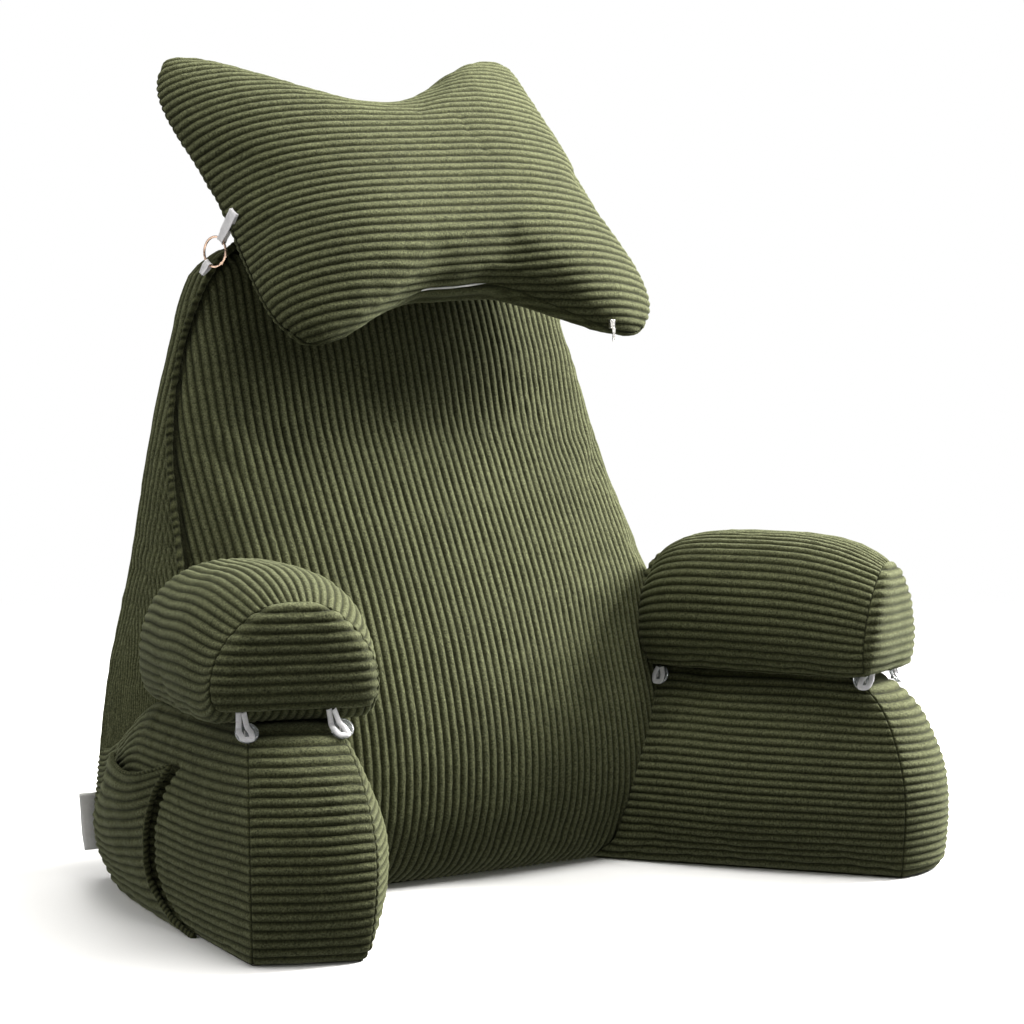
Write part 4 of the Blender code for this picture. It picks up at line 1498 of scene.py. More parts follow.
def twisted(name: str, path: Array, lean: Array, size: tuple[float, float], pitch: float,
            material: Material, swell: float = 0.3, sides: int = 14) -> bpy.types.Object:
    """An overlocked or rolled edge: a thick line wound round by its own threads.

    Args:
        name: The object's name.
        path: The line that it follows.
        lean: The way that it stands, at each point of the path.
        size: Half its size along lean, and across it.
        pitch: Length of one turn of the winding.
        material: What it is made of.
        swell: How deep the winding is, as a share of its size.
        sides: Points round it.

    Returns:
        The object.
    """
    length = reach(path[None], 1)[0]
    count = max(12, int(length[-1] / pitch * 10))
    want, line = read_path(path, count)
    up = unit(np.stack([np.interp(want, length, lean[:, i]) for i in range(3)], -1))
    way = unit(np.gradient(line, axis=0))
    across = unit(np.cross(way, up))
    up = np.cross(across, way)
    turn = np.linspace(0, 2 * pi, sides, endpoint=False)[None, :]
    wind = np.abs(np.sin(pi * want[:, None] / pitch - turn / 2 + 0.6 * ripple(line, 0.03, 9)[:, None]))
    grow = (1 - swell) + swell * wind ** 0.7
    taper = np.minimum(1, np.minimum(want, want[-1] - want) / 0.004)[:, None] ** 0.5
    grow = grow * np.maximum(taper, 0.05) * (1 + 0.12 * ripple(line, 0.02, 10)[:, None])
    points = (line[:, None] + up[:, None] * (np.cos(turn) * grow * size[0])[..., None]
              + across[:, None] * (np.sin(turn) * grow * size[1])[..., None])
    quads = grid_faces(count, sides, 0, closed=True)[:, ::-1]
    # The winding's depth is also its pile value, so its hollows get the groove colour as painted shade.
    return mesh_object(name, points.reshape(-1, 3), quads, material,
                       {"pile": wind.ravel() * np.ones(count * sides), "seam": np.zeros(count * sides)})


# ---- bolsters -------------------------------------------------------------------------------


@dataclass
class Bolster:
    """A half-round filled roll on an arm, modelled on the viewer's left."""

    side: Side
    backrest: Backrest
    ribs: int = 42
    half_length: float = 0.128
    splay: float = radians(17)
    centre: Spot = (-0.283, -0.172, 0.1806)
    half_width: float = 0.078
    height: float = 0.128
    shoulder: float = 0.046
    foot: float = 0.80
    roundness: float = 2.3
    front_narrowing: float = 0.09
    rear_narrowing: float = 0.15
    rear_short: float = 0.0
    lowering: float = 0.19
    end_lift: float = 0.012
    end_bulge: float = 0.014
    end_pitch: float = 0.0078
    end_skew: float = 0.0      # how much further the front end reaches on its inner side
    top_narrowing: float = 0.30
    backrest_gap: float = 0.0025
    filling: Filling = Filling(3.4, 0.008, 0.005, 0.9)
    seed: int = 500               # the right one's is 100 more

    def axes(self) -> tuple[Array, Array]:
        """Unit vectors towards the front end, and across, inwards."""
        along = np.array([-sin(self.splay), -cos(self.splay), 0.0])
        return along, np.array([-along[1], along[0], 0.0])

    def profile(self, count: int) -> Array:
        """Section from the inner foot over the top to the outer one: across, and height.

        Args:
            count: How many points it has.

        Returns:
            The points.
        """
        power = 2 / self.roundness
        turn = np.linspace(0, pi / 2, 160)
        low = np.stack([lerp(self.foot, 1, np.sin(turn)) * self.half_width,
                        (1 - np.cos(turn)) * self.shoulder], -1)
        rise = self.height - self.shoulder
        high = np.stack([self.half_width * np.clip(np.cos(turn), 0, 1) ** power,
                         self.shoulder + rise * np.sin(turn) ** power], -1)
        half = np.concatenate([low[:-1], high])
        path = np.concatenate([half, half[-2::-1] * np.array([-1, 1])])
        return read_path(path, count)[1]

    def point(self, station: Array, across: Array, rise: Array, push: Number = 0.0) -> Array:
        """Points of the bolster, kept off the backrest.

        Args:
            station: -1 at the rear end to 1 at the front one.
            across: Over the profile, inwards.
            rise: Over the profile's foot.
            push: How far it stands out along the bolster.

        Returns:
            The points.
        """
        along, inward = self.axes()
        draw = np.abs(station) ** 3.5
        narrowing = np.where(station > 0, self.front_narrowing, self.rear_narrowing)
        station = np.where(station > 0, station, station * (1 - self.rear_short))
        lift = self.end_lift * draw ** 3.4
        z = lift + rise * (1 - self.lowering * draw - lift / self.height)
        narrowing = narrowing + self.top_narrowing * (rise / self.height) ** 1.5
        skew = self.end_skew * across / self.half_width * draw * (station > 0)
        points = (np.array(self.centre) + along * (self.half_length * station + push + skew)[..., None]
                  + inward * (across * (1 - narrowing * draw))[..., None])
        points = points + np.stack([0 * z, 0 * z, z], -1)
        corner = self.backrest.front(np.full(points.shape[:-1], -1.0), points[..., 2])
        normal = self.backrest.seam_normal(points[..., 2])
        short = ((corner + normal * self.backrest_gap - points) * normal).sum(-1) / (normal @ along)
        return points + along * np.maximum(0, short)[..., None]

    def panels(self) -> list[Panel]:
        """The wrap, the underside and the two end panels.

        Returns:
            The panels.
        """
        stations = np.sin(np.linspace(-pi / 2, pi / 2, 27))
        stations = 0.5 * stations + 0.5 * np.linspace(-1, 1, 27)
        profile = self.profile(41)
        u, station = np.meshgrid(np.arange(41), stations)
        wrap = self.point(station, profile[u, 0], profile[u, 1])
        hold = np.where((u == 0) | (u == 40), 1.0, 0.0)
        found = [Panel(wrap, self.ribs, Run.UP, (True, True, True, True), hold, step=0.008)]
        s, station = np.meshgrid(np.linspace(1, 0, 15), stations)
        foot = self.foot * self.half_width
        under = self.point(station, lerp(-foot, foot, 1 - s), 0 * s)
        found.append(Panel(under, 17, Run.UP, hold=1.0, step=0.010))
        for end in (-1, 1):
            half = profile[:21]
            row, k = np.meshgrid(np.arange(21), np.linspace(-1, 1, 17), indexing="ij")
            share = half[row, 1] / self.height
            swell = (1 - k ** 4) * (1 - np.abs(2 * share - 1) ** 3)
            push = self.end_bulge * np.maximum(swell, 0) ** 0.5 * end
            grid = self.point(np.full(row.shape, float(end)), half[row, 0] * k * end, half[row, 1], push)
            found.append(Panel(grid, 0, Run.ROUND, hold=0.2, step=0.006, phase=self._end_phase, samples=126))
        return found

    def _end_phase(self, points: Array) -> Array:
        """Rib count over an end panel, its ribs level."""
        return (points[..., 2] - self.centre[2] + 0.02) / self.end_pitch

    def build(self, finishes: Finishes) -> None:
        """Make and dress the bolster."""
        make_cushion(f"bolster_{self.side.word}", self.panels(), self.filling, self.side,
                     finishes.corduroy.make(), self.seed + 100 * (self.side is Side.RIGHT))


# ---- head pillow ----------------------------------------------------------------------------


@dataclass
class HeadPillow:
    """The four-lobed head pillow, its zip and the zip's pull."""

    pitch: float = 0.0080
    centre: Spot = (0.0, -0.0074, 0.6195)
    lean: float = radians(35.5)
    roll: float = radians(4.0)
    half_widths: tuple[float, float] = (0.2015, 0.2025)
    half_length: float = 0.105
    lobe_at: tuple[float, float] = (0.90, 0.85)   # where the lobes peak, on the viewer's left and right
    lobe_rise: float = 0.78
    lobe_end: float = 0.008
    corner: float = 0.085
    square_top: float = 0.8    # how much less the top lobe on the viewer's right is rounded
    front_bulge: float = 0.053
    back_bulge: float = 0.050
    seam_back: float = 0.018   # how far the side seams lie behind the pillow's middle
    waist_top: float = 0.055
    waist_low: float = -0.010
    flat_low: float = 0.17     # how wide the level middle of the lower waist is
    steep_top: float = 0.30    # how steeply the top rises from its waist to the viewer's right
    roundness: float = 0.53
    crease_at: float = 0.062   # a faint upright crease, to the viewer's right of the middle, painted a little darker as shade
    crease_depth: float = 0.0016
    dent: float = 0.0016
    tuck: float = 0.0013
    zip_span: tuple[int, int] = (10, 37)     # the part of the lower seam that has the zip
    zip_sunk: float = 0.0045                 # how far its right end goes in under the cloth
    lobes: dict[tuple[int, int], tuple[float, float]] = field(default_factory=lambda: {
        (-1, 1): (0.218, 0.180), (1, 1): (0.197, 0.168), (-1, -1): (0.204, 0.160), (1, -1): (0.221, 0.173)})
    filling: Filling = Filling(3.2, 0.010, 0.004, 0.75)
    seed: int = 700

    def axes(self) -> tuple[Array, Array, Array]:
        """Unit vectors across it, up along it and out of its front.

        Returns:
            Three unit vectors.
        """
        c, s = cos(-self.roll), sin(-self.roll)
        turn = np.array([[c, 0, s], [0, 1, 0], [-s, 0, c]])
        across = turn @ np.array([1.0, 0.0, 0.0])
        up = turn @ np.array([0.0, sin(self.lean), cos(self.lean)])
        return across, up, np.cross(across, up)

    def from_waist(self, across: Array, up: Array) -> Array:
        """How far each point lies from the waist, 0, towards its lobe, 1.

        Args:
            across: -1 to 1 between the side edges.
            up: -1 to 1 between the waists.

        Returns:
            The shares.
        """
        waist = np.where(up > 0, self.waist_top, self.waist_low)
        lobe_at = np.where(across > waist, self.lobe_at[1], self.lobe_at[0])
        out = np.abs(across - waist) / (lobe_at - waist * np.sign(across - waist))
        flat = np.where(up > 0, 0.0, self.flat_low)
        share = np.clip((out - flat) / (1 - flat), 0, 1)
        return np.where((up > 0) & (across < waist), share ** 1.3, share)

    def outline(self, across: Array, up: Array) -> tuple[Array, Array]:
        """Place in the pillow's own plane, across and up being -1 to 1 between its edges.

        Args:
            across: Over the width.
            up: Over the height.

        Returns:
            Metres across, and up.
        """
        right, high = ease((across + 0.2) / 0.4), ease((up + 0.02) / 0.04)
        lobe_width, lobe_length = 0.0, 0.0
        for (x, z), (wide, long) in self.lobes.items():
            weight = (right if x > 0 else 1 - right) * (high if z > 0 else 1 - high)
            lobe_width, lobe_length = lobe_width + weight * wide, lobe_length + weight * long
        past = np.maximum(0.0, (np.abs(across) - self.lobe_at[0]) / (1 - self.lobe_at[0]))
        half_width = lerp(*self.half_widths, ease((across + 0.3) / 0.6))
        width = lerp(half_width, lobe_width, ease(np.abs(up) / self.lobe_rise))
        share = self.from_waist(across, up)
        steep = self.steep_top * ease((across - self.waist_top) / 0.1) * np.maximum(up, 0) ** 6
        length = lerp(self.half_length, lobe_length, lerp(ease(share), share * (2 - share), steep))
        rounded = 1 - self.corner * (1 - self.square_top * right * high) * np.abs(across * up) ** 6
        return across * width * rounded, up * (length - self.lobe_end * past * past) * rounded

    def surface(self, across: Array, up: Array, face: int) -> Array:
        """Points on the front, face 1, or the back, face -1.

        Args:
            across: Over the width.
            up: Over the height.
            face: Which one.

        Returns:
            The points.
        """
        ax, az, out = self.axes()
        x, y = self.outline(across, up)
        wide, tall = np.maximum(0, 1 - np.abs(across) ** 2.1), np.maximum(0, 1 - np.abs(up) ** 2.3)
        back = self.seam_back * ease((-across - 0.25) / 0.7)
        back = back + 0.4 * self.seam_back * ease((across - 0.5) / 0.5)
        fullness = lerp(0.34, 0.5, ease(self.from_waist(across, up)))
        bulge = (self.front_bulge + back if face > 0 else self.back_bulge - back) * wide ** self.roundness
        bulge = bulge * tall ** fullness
        y = y + 0.60 * back
        return (np.array(self.centre) + ax * x[..., None] + az * y[..., None]
                + out * (face * bulge - back)[..., None])

    def panels(self) -> list[Panel]:
        """The two faces.

        Returns:
            The panels.
        """
        rise = np.sin(np.linspace(-pi / 2, pi / 2, 41)) * 0.35 + np.linspace(-1, 1, 41) * 0.65
        wide = np.sin(np.linspace(-pi / 2, pi / 2, 45)) * 0.5 + np.linspace(-1, 1, 45) * 0.5
        u, v = np.meshgrid(wide, rise)
        front = self.surface(u, v, 1)
        back = self.surface(u[:, ::-1], v, -1)
        return [Panel(front, 0, Run.ROUND, hold=0.05, step=0.006, relief=self._front_relief, wander=0.2,
                      pitch=self.pitch),
                Panel(back, 0, Run.ROUND, hold=0.6, step=0.008, phase=self._back_phase, samples=290)]

    def _back_phase(self, points: Array) -> Array:
        """Rib count over the back, where the ribs lie nearly straight across.

        Args:
            points: The panel's fine points.

        Returns:
            The counts.
        """
        _, up, _ = self.axes()
        level = (points - np.array(self.centre)) @ up
        length = reach(points, 0)
        return lerp(length - length[len(length) // 2], level, 0.65) / self.pitch

    def _front_relief(self, points: Array, near: Array, count: Array) -> tuple:
        """Tucks that run in from the edges, a faint upright crease and soft dents.

        Args:
            points: The panel's fine points.
            near: Their distance from the seams.
            count: Their rib count.

        Returns:
            Extra height, and painted shade in the crease.
        """
        tucks = ripple(points * np.array([1.0, 0.2, 0.2]), 0.028, 81) * np.exp(-near / 0.030)
        tucks = tucks * (1 - np.exp(-near / 0.006))
        ax, _, _ = self.axes()
        across = (points - np.array(self.centre)) @ ax
        rise = count * self.pitch
        crease = np.exp(-((across - self.crease_at + 0.01 * np.sin(30 * rise)) / 0.0035) ** 2)
        crease = crease * ease((rise + 0.01) / 0.02) * ease((0.075 - rise) / 0.02)
        dents = self.dent * ripple(points, 0.15, 82)
        # Painted shade: the crease's tone is cut by up to 15%.
        return self.tuck * tucks + dents - self.crease_depth * crease, 1 - 0.15 * crease

    def build(self, finishes: Finishes) -> None:
        """Make and dress the pillow, its zip and the pull.

        Args:
            finishes: The pillow's finishes.
        """
        panels = self.panels()
        make_cushion("head_pillow", panels, self.filling, Side.LEFT, finishes.corduroy.make(), self.seed)
        self._zip(finishes, panels[0].grid[0])

    def _zip(self, finishes: Finishes, edge: Array) -> None:
        """The zip's coil along the lower seam and the slider with its pull.

        Args:
            finishes: The pillow's finishes.
            edge: The cover's lower seam.
        """
        _, up, out = self.axes()
        part = edge[slice(*self.zip_span)]
        lean = np.broadcast_to(out, part.shape)
        sunk = self.zip_sunk * ease((np.linspace(0, 1, len(part)) - 0.40) / 0.25)[:, None]
        coil = twisted("zip_coil", part + out * 0.0016 + up * (sunk - 0.0002), lean, (0.0010, 0.0010), 0.0016,
                       finishes.zip_coil.make(), swell=0.4, sides=8)
        dress(coil)
        low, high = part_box("zip_pull")
        top = Vector(((low.x + high.x) / 2, (low.y + high.y) / 2, high.z - 0.003))
        pull = pull_tab("zip_puller", top, high.z - low.z, finishes.pull_metal.make())
        dress(pull, "zip_pull")


def pull_tab(name: str, top: Vector, length: float, material: Material) -> bpy.types.Object:
    """A zip's slider with a narrow pressed pull hanging from it.

    Args:
        name: The object's name.
        top: Where the pull hangs from.
        length: The pull's length.
        material: What it is made of.

    Returns:
        The object.
    """
    tab = bmesh.new()
    half = 0.0019
    outline = [(-0.6, 0.0), (-1.0, -0.12), (-0.75, -0.4), (-0.9, -0.8), (-0.7, -0.97), (0.0, -1.0),
               (0.7, -0.97), (0.9, -0.8), (0.75, -0.4), (1.0, -0.12), (0.6, 0.0)]
    ring = [tab.verts.new((top.x + x * half, top.y - 0.0005, top.z + z * length)) for x, z in outline]
    hole = []
    for i in range(8):
        turn = 2 * pi * i / 8
        hole.append(tab.verts.new((top.x + 0.0008 * cos(turn), top.y - 0.0005, top.z - 0.80 * length
                                   + 0.0011 * sin(turn))))
    edges = [tab.edges.new((loop[i], loop[(i + 1) % len(loop)]))
             for loop in (ring, hole) for i in range(len(loop))]
    bmesh.ops.triangle_fill(tab, use_beauty=True, edges=edges, normal=(0, -1, 0))
    made = bmesh.ops.extrude_face_region(tab, geom=tab.faces[:])["geom"]
    bmesh.ops.translate(tab, vec=(0, 0.0009, 0), verts=[v for v in made if isinstance(v, bmesh.types.BMVert)])
    wide, deep, tall = 0.0062, 0.0036, 0.0080     # the slider
    for vert in bmesh.ops.create_cube(tab, size=1.0)["verts"]:
        taper = 1.0 if vert.co.z > 0 else 0.7
        vert.co = Vector((top.x + vert.co.x * wide * taper, top.y + 0.0030 + vert.co.y * deep,
                          top.z + 0.0030 + vert.co.z * tall))
    bmesh.ops.recalc_face_normals(tab, faces=tab.faces[:])
    mesh = bpy.data.meshes.new(name)
    tab.to_mesh(mesh)
    tab.free()
    item = placed(mesh, material)
    bevel = item.modifiers.new("Edges", "BEVEL")
    bevel.width, bevel.segments = 0.0003, 2
    return item


# ---- seam welt ------------------------------------------------------------------------------


@dataclass
class SeamWelt:
    """Overlocked seam allowance that stands proud up the backrest's front edges and over its top."""

    backrest: Backrest
    low_end: float = 0.215
    proud: float = 0.0042
    half_thickness: float = 0.0027

    def path(self) -> tuple[Array, Array]:
        """The line up the left front seam, over the top and down the right, and the way it stands.

        Returns:
            The line, and unit vectors.
        """
        heights = np.linspace(self.low_end, self.backrest.height, 60)
        seam = self.backrest.front(np.full(60, -1.0), heights)
        normal = self.backrest.seam_normal(heights)
        high = ease((heights - self.backrest.height + 0.02) / 0.02)[:, None]
        lean = unit(normal + np.array([-1.0, 0.0, 0.0]) + high * np.array([0.0, 0.0, 1.0]))
        turns = np.linspace(-1, 1, 60)[1:-1]
        top = self.backrest.front(turns, np.full(58, self.backrest.height))
        ahead = self.backrest.front(turns + 1e-3, np.full(58, self.backrest.height))
        way = unit((ahead - top)[:, :2])
        over = unit(np.stack([way[:, 1], -way[:, 0], 1 + 0 * way[:, 0]], -1))
        laid = unit(np.array([0.45, 1.0, 0.0]) + high * np.array([0.0, -0.8, 1.0]))
        line = np.concatenate([seam, top, seam[::-1] * np.array([-1.0, 1.0, 1.0])])
        leans = np.concatenate([lean, over, laid[::-1]])
        return line + leans * 0.0035, leans

    def build(self, finishes: Finishes) -> None:
        """Make and dress the welt.

        Args:
            finishes: The pillow's finishes.
        """
        line, leans = self.path()
        flange = twisted("seam_welt", line, leans, (self.proud, self.half_thickness), 0.0090,
                         finishes.seam_edge.make(), swell=0.34, sides=16)
        dress(flange, "seam_flange")
        LOG.info("seam welt built")


# ---- buttons, ribbons, rings and label ------------------------------------------------------


def strip(name: str, line: Array, across: Array, half_width: Array | float, thickness: float,
          material: Material, curl: float = 0.0) -> bpy.types.Object:
    """A flat ribbon with two faces and thin edges.

    Args:
        name: The object's name.
        line: Points along its middle.
        across: Unit vectors over its width, at each point.
        half_width: Half its width, at each point or all along.
        thickness: How thick it is.
        material: What it is made of.
        curl: How far its edges curl up.

    Returns:
        The object.
    """
    count, columns = len(line), 9
    k = np.linspace(-1, 1, columns)
    rise = unit(np.cross(across, np.gradient(line, axis=0)))
    half = np.broadcast_to(half_width, (count,))
    face = (line[:, None] + across[:, None] * (half[:, None] * k)[..., None]
            + rise[:, None] * (curl * k[None, :] ** 2)[..., None])
    top = face + rise[:, None] * thickness / 2
    low = face - rise[:, None] * thickness / 2
    ring = np.concatenate([top, low[:, ::-1]], axis=1)
    around = ring.shape[1]
    quads = grid_faces(count, around, 0, closed=True)
    caps = []
    for row, flip in ((0, True), (count - 1, False)):
        for i in range(columns - 1):
            a, b = row * around + i, row * around + i + 1
            c, d = row * around + around - 2 - i, row * around + around - 1 - i
            caps.append([a, b, c, d] if flip else [d, c, b, a])
    quads = np.concatenate([quads, np.array(caps)])
    item = mesh_object(name, ring.reshape(-1, 3), quads, material)
    mesh = bmesh.new()
    mesh.from_mesh(item.data)
    bmesh.ops.recalc_face_normals(mesh, faces=mesh.faces[:])
    mesh.to_mesh(item.data)
    mesh.free()
    return item


@dataclass
class ButtonClosure:
    """A clear four-hole button on an arm, its thread, and the ribbon loop over it."""

    name: str
    place: Spot
    turn: float
    tilt: float
    rise: float
    stand: float
    skew: float = 0.0
    profile: Table = (        # radius and height, from the dished middle over the rim to the back
        (0.0060, 0.0011), (0.0066, 0.0013), (0.0074, 0.0021), (0.0082, 0.0024), (0.0089, 0.0022),
        (0.0093, 0.0014), (0.0092, 0.0005), (0.0086, 0.0000), (0.0060, 0.0000))
    hole_off: float = 0.0019      # from the middle, across and down
    hole_radius: float = 0.0009
    ribbon_half: float = 0.0023
    ribbon_low: float = -0.0058   # how far under the button's middle the loop ends

    def axes(self) -> tuple[Array, Array, Array]:
        """Unit vectors out of the button's face, level across it, and down it.

        Returns:
            Three unit vectors.
        """
        turn, tilt = radians(self.turn), radians(self.tilt)
        out = np.array([sin(turn) * cos(tilt), -cos(turn) * cos(tilt), sin(tilt)])
        across = unit(np.array([-out[1], out[0], 0.0]))
        return out, across, np.cross(across, out)

    def build(self, finishes: Finishes) -> None:
        """Make and dress the button, its thread and its loop.

        Args:
            finishes: The pillow's finishes.
        """
        dress(self._button(finishes.clear_button.make()), f"button_{self.name}")
        dress(self._thread(finishes.thread.make()))
        loop, length = self._loop(finishes.ribbon.make())
        dress(loop, f"loop_{self.name}")
        LOG.info("button %s", self.name)

    def _button(self, material: Material) -> bpy.types.Object:
        """The disc with a raised rim, a dished middle and four holes.

        Args:
            material: What it is made of.

        Returns:
            The object.
        """
        out, across, down = self.axes()
        centre = np.array(self.place)
        steps, hole_steps = 40, 10
        turn = np.linspace(0, 2 * pi, steps, endpoint=False)
        way = across * np.cos(turn)[:, None] + down * np.sin(turn)[:, None]
        made = bmesh.new()
        rings = []
        for radius, height in self.profile:
            rings.append([made.verts.new(centre + w * radius + out * height) for w in way])
        for low, high in zip(rings, rings[1:]):
            for i in range(steps):
                j = (i + 1) % steps
                made.faces.new((low[i], low[j], high[j], high[i]))
        for ring, (_, height) in ((rings[0], self.profile[0]), (rings[-1], self.profile[-1])):
            edges = [made.edges.get((ring[i], ring[(i + 1) % steps])) for i in range(steps)]
            for hx, hy in ((-1, -1), (1, -1), (1, 1), (-1, 1)):
                middle = centre + across * (hx * self.hole_off) + down * (hy * self.hole_off) + out * height
                loop = []
                for i in range(hole_steps):
                    a = 2 * pi * i / hole_steps
                    loop.append(made.verts.new(middle + across * (self.hole_radius * cos(a))
                                               + down * (self.hole_radius * sin(a))))
                edges += [made.edges.new((loop[i], loop[(i + 1) % hole_steps])) for i in range(hole_steps)]
            bmesh.ops.triangle_fill(made, use_beauty=True, edges=edges, normal=out)
        bmesh.ops.recalc_face_normals(made, faces=made.faces[:])
        mesh = bpy.data.meshes.new(f"button_{self.name}_disc")
        made.to_mesh(mesh)
        made.free()
        mesh.polygons.foreach_set("use_smooth", np.ones(len(mesh.polygons), bool))
        return placed(mesh, material)

    def _thread(self, material: Material) -> bpy.types.Object:
        """Two stitches over the holes, and the shank that they wind behind the button.

        Args:
            material: What it is made of.

        Returns:
            The object.
        """
        out, across, down = self.axes()
        centre = np.array(self.place)
        points, quads, offset = [], [], 0
        turn = np.linspace(0, 2 * pi, 8, endpoint=False)
        for side in (-1, 1):
            s = np.linspace(-1, 1, 9)
            line = (centre + across * (side * self.hole_off) + down * (s * 0.0021)[:, None]
                    + out * (0.0013 + 0.0007 * (1 - s ** 4))[:, None])
            tube = (line[:, None] + across * (np.cos(turn) * 0.0006)[None, :, None]
                    + out * (np.sin(turn) * 0.0005)[None, :, None])
            points.append(tube.reshape(-1, 3))
            quads.append(grid_faces(9, 8, offset, closed=True))
            offset += 72
        height = np.linspace(-0.0040, 0.0002, 7)
        line = centre + out * height[:, None]
        size = 0.0014 + 0.0003 * np.sin(np.arange(7) * 2.2)
        tube = (line[:, None] + across * (size[:, None] * np.cos(turn))[..., None]
                + down * (size[:, None] * np.sin(turn))[..., None])
        points.append(tube.reshape(-1, 3))
        quads.append(grid_faces(7, 8, offset, closed=True))
        return mesh_object(f"button_{self.name}_thread", np.concatenate(points), np.concatenate(quads),
                           material)

    def _loop(self, material: Material) -> tuple[bpy.types.Object, float]:
        """The ribbon, doubled into a narrow loop that comes down over the button and round it.

        Args:
            material: What it is made of.

        Returns:
            The object, and the length of one side of the loop.
        """
        out, across, down = self.axes()
        centre = np.array(self.place)
        t = np.linspace(-1, 1, 41)
        side = np.sign(t) * np.minimum(1, np.abs(t) / 0.16) ** 0.6
        low = self.ribbon_low
        rise = lerp(self.rise, low, np.minimum(1, (1 - np.abs(t)) / 0.90))
        rise = rise - 0.0012 * np.sqrt(np.clip(1 - (t / 0.18) ** 2, 0, 1))
        stand = np.interp(rise, [low, 0.0030, self.rise], [0.0034, 0.0042, self.stand])
        spread = np.interp(rise, [low, 0.0, 0.0045, self.rise], [0.0040, 0.0046, 0.0030, 0.0020]) * side
        tilt = self.skew * (rise - low)
        line = centre - down * rise[:, None] + out * stand[:, None] + across * (spread + tilt)[:, None]
        way = unit(np.gradient(line, axis=0))
        width = unit(np.cross(out, way))
        loop = strip(f"loop_{self.name}_ribbon", line, width, self.ribbon_half, 0.0007, material,
                     curl=0.0005)
        return loop, round(float(reach(line[None], 1)[0, -1]) / 2, 4)


@dataclass
class CornerTie:
    """A ring at a top corner of the backrest, with the ribbons that tie the head pillow to it."""

    side: Side
    centre: Spot
    axis: Spot
    pillow_end: Spot
    backrest_end: Spot
    radius: float = 0.0135
    wire: float = 0.0011
    bend: float = 0.0019      # radius of the ribbon's bend round the wire
    half_gap: float = 0.0006  # half the distance between its two layers at the sewn end
    clasp: float = 5.35       # where round the ring it opens

    def build(self, finishes: Finishes) -> None:
        """Make and dress the ring and its two ribbons.

        Args:
            finishes: The pillow's finishes.
        """
        word = self.side.word
        dress(self._ring(finishes.ring_metal.make()), f"ring_{word}")
        for name, end, widths in (("upper", self.pillow_end, (0.0052, 0.0047)),
                                  ("lower", self.backrest_end, (0.0022, 0.0046))):
            ribbon, length = self._ribbon(f"{name}_tie_{word}", np.array(end), widths, finishes.ribbon.make())
            dress(ribbon, f"{name}_ribbon_{word}")
        LOG.info("corner tie %s", word)

    def _ring(self, material: Material) -> bpy.types.Object:
        """The wire ring with the small knuckle where it opens.

        Args:
            material: What it is made of.

        Returns:
            The object.
        """
        axis = unit(np.array(self.axis))
        level = unit(np.cross(axis, np.array([0.0, 0.0, 1.0])))
        up = np.cross(level, axis)
        turn = np.linspace(0, 2 * pi, 72, endpoint=False)[:, None]
        around = np.linspace(0, 2 * pi, 12, endpoint=False)[None, :]
        from_clasp = np.abs((turn - self.clasp + pi) % (2 * pi) - pi)
        knuckle = 0.45 * np.exp(-(from_clasp / 0.14) ** 4)
        neck = 0.3 * np.exp(-((from_clasp - 0.17) / 0.03) ** 2)
        wire = self.wire * (1 + knuckle - neck)
        way = level * np.cos(turn)[..., None] + up * np.sin(turn)[..., None]
        points = (np.array(self.centre) + way * (self.radius + wire * np.cos(around))[..., None]
                  + axis * (wire * np.sin(around))[..., None])
        points = np.concatenate([points, points[:1]])
        quads = grid_faces(73, 12, 0, closed=True)
        return mesh_object(f"ring_{self.side.word}_wire", points.reshape(-1, 3), quads, material)

    def _ribbon(self, name: str, end: Array, widths: tuple[float, float],
                material: Material) -> tuple[bpy.types.Object, float]:
        """A ribbon that runs from its sewn end to the ring, round the wire and back.

        Args:
            name: The object's name.
            end: Where it is sewn on.
            widths: Half its width at the sewn end, and at the ring.
            material: What it is made of.

        Returns:
            The object, and the ribbon's length.
        """
        axis = unit(np.array(self.axis))
        centre = np.array(self.centre)
        way = end - centre
        way = unit(way - axis * (way @ axis))
        hook = centre + way * self.radius
        across = unit(np.cross(end - hook, axis))
        turn = np.linspace(-0.5 * pi, 0.5 * pi, 13)
        away = unit(end - hook)
        rise = unit(np.cross(across, away))
        round_wire = (hook - away[None] * (self.bend * np.cos(turn))[:, None]
                      + rise[None] * (self.bend * np.sin(turn))[:, None])
        s = np.linspace(0, 1, 12)[1:]
        first = lerp(round_wire[0], end - rise * self.half_gap, s[::-1][:, None])
        last = lerp(round_wire[-1], end + rise * self.half_gap, s[:, None])
        line = np.concatenate([first, round_wire, last])
        far = np.linalg.norm(line - hook, axis=1)
        share = np.clip(far / far.max(), 0, 1)
        half = lerp(widths[1], widths[0], share) * (1 - 0.22 * np.exp(-((share - 0.12) / 0.12) ** 2))
        ribbon = strip(name, line, np.broadcast_to(across, line.shape), half, 0.0006, material, curl=0.0005)
        return ribbon, round(float(reach(line[None], 1)[0, -1]), 4)


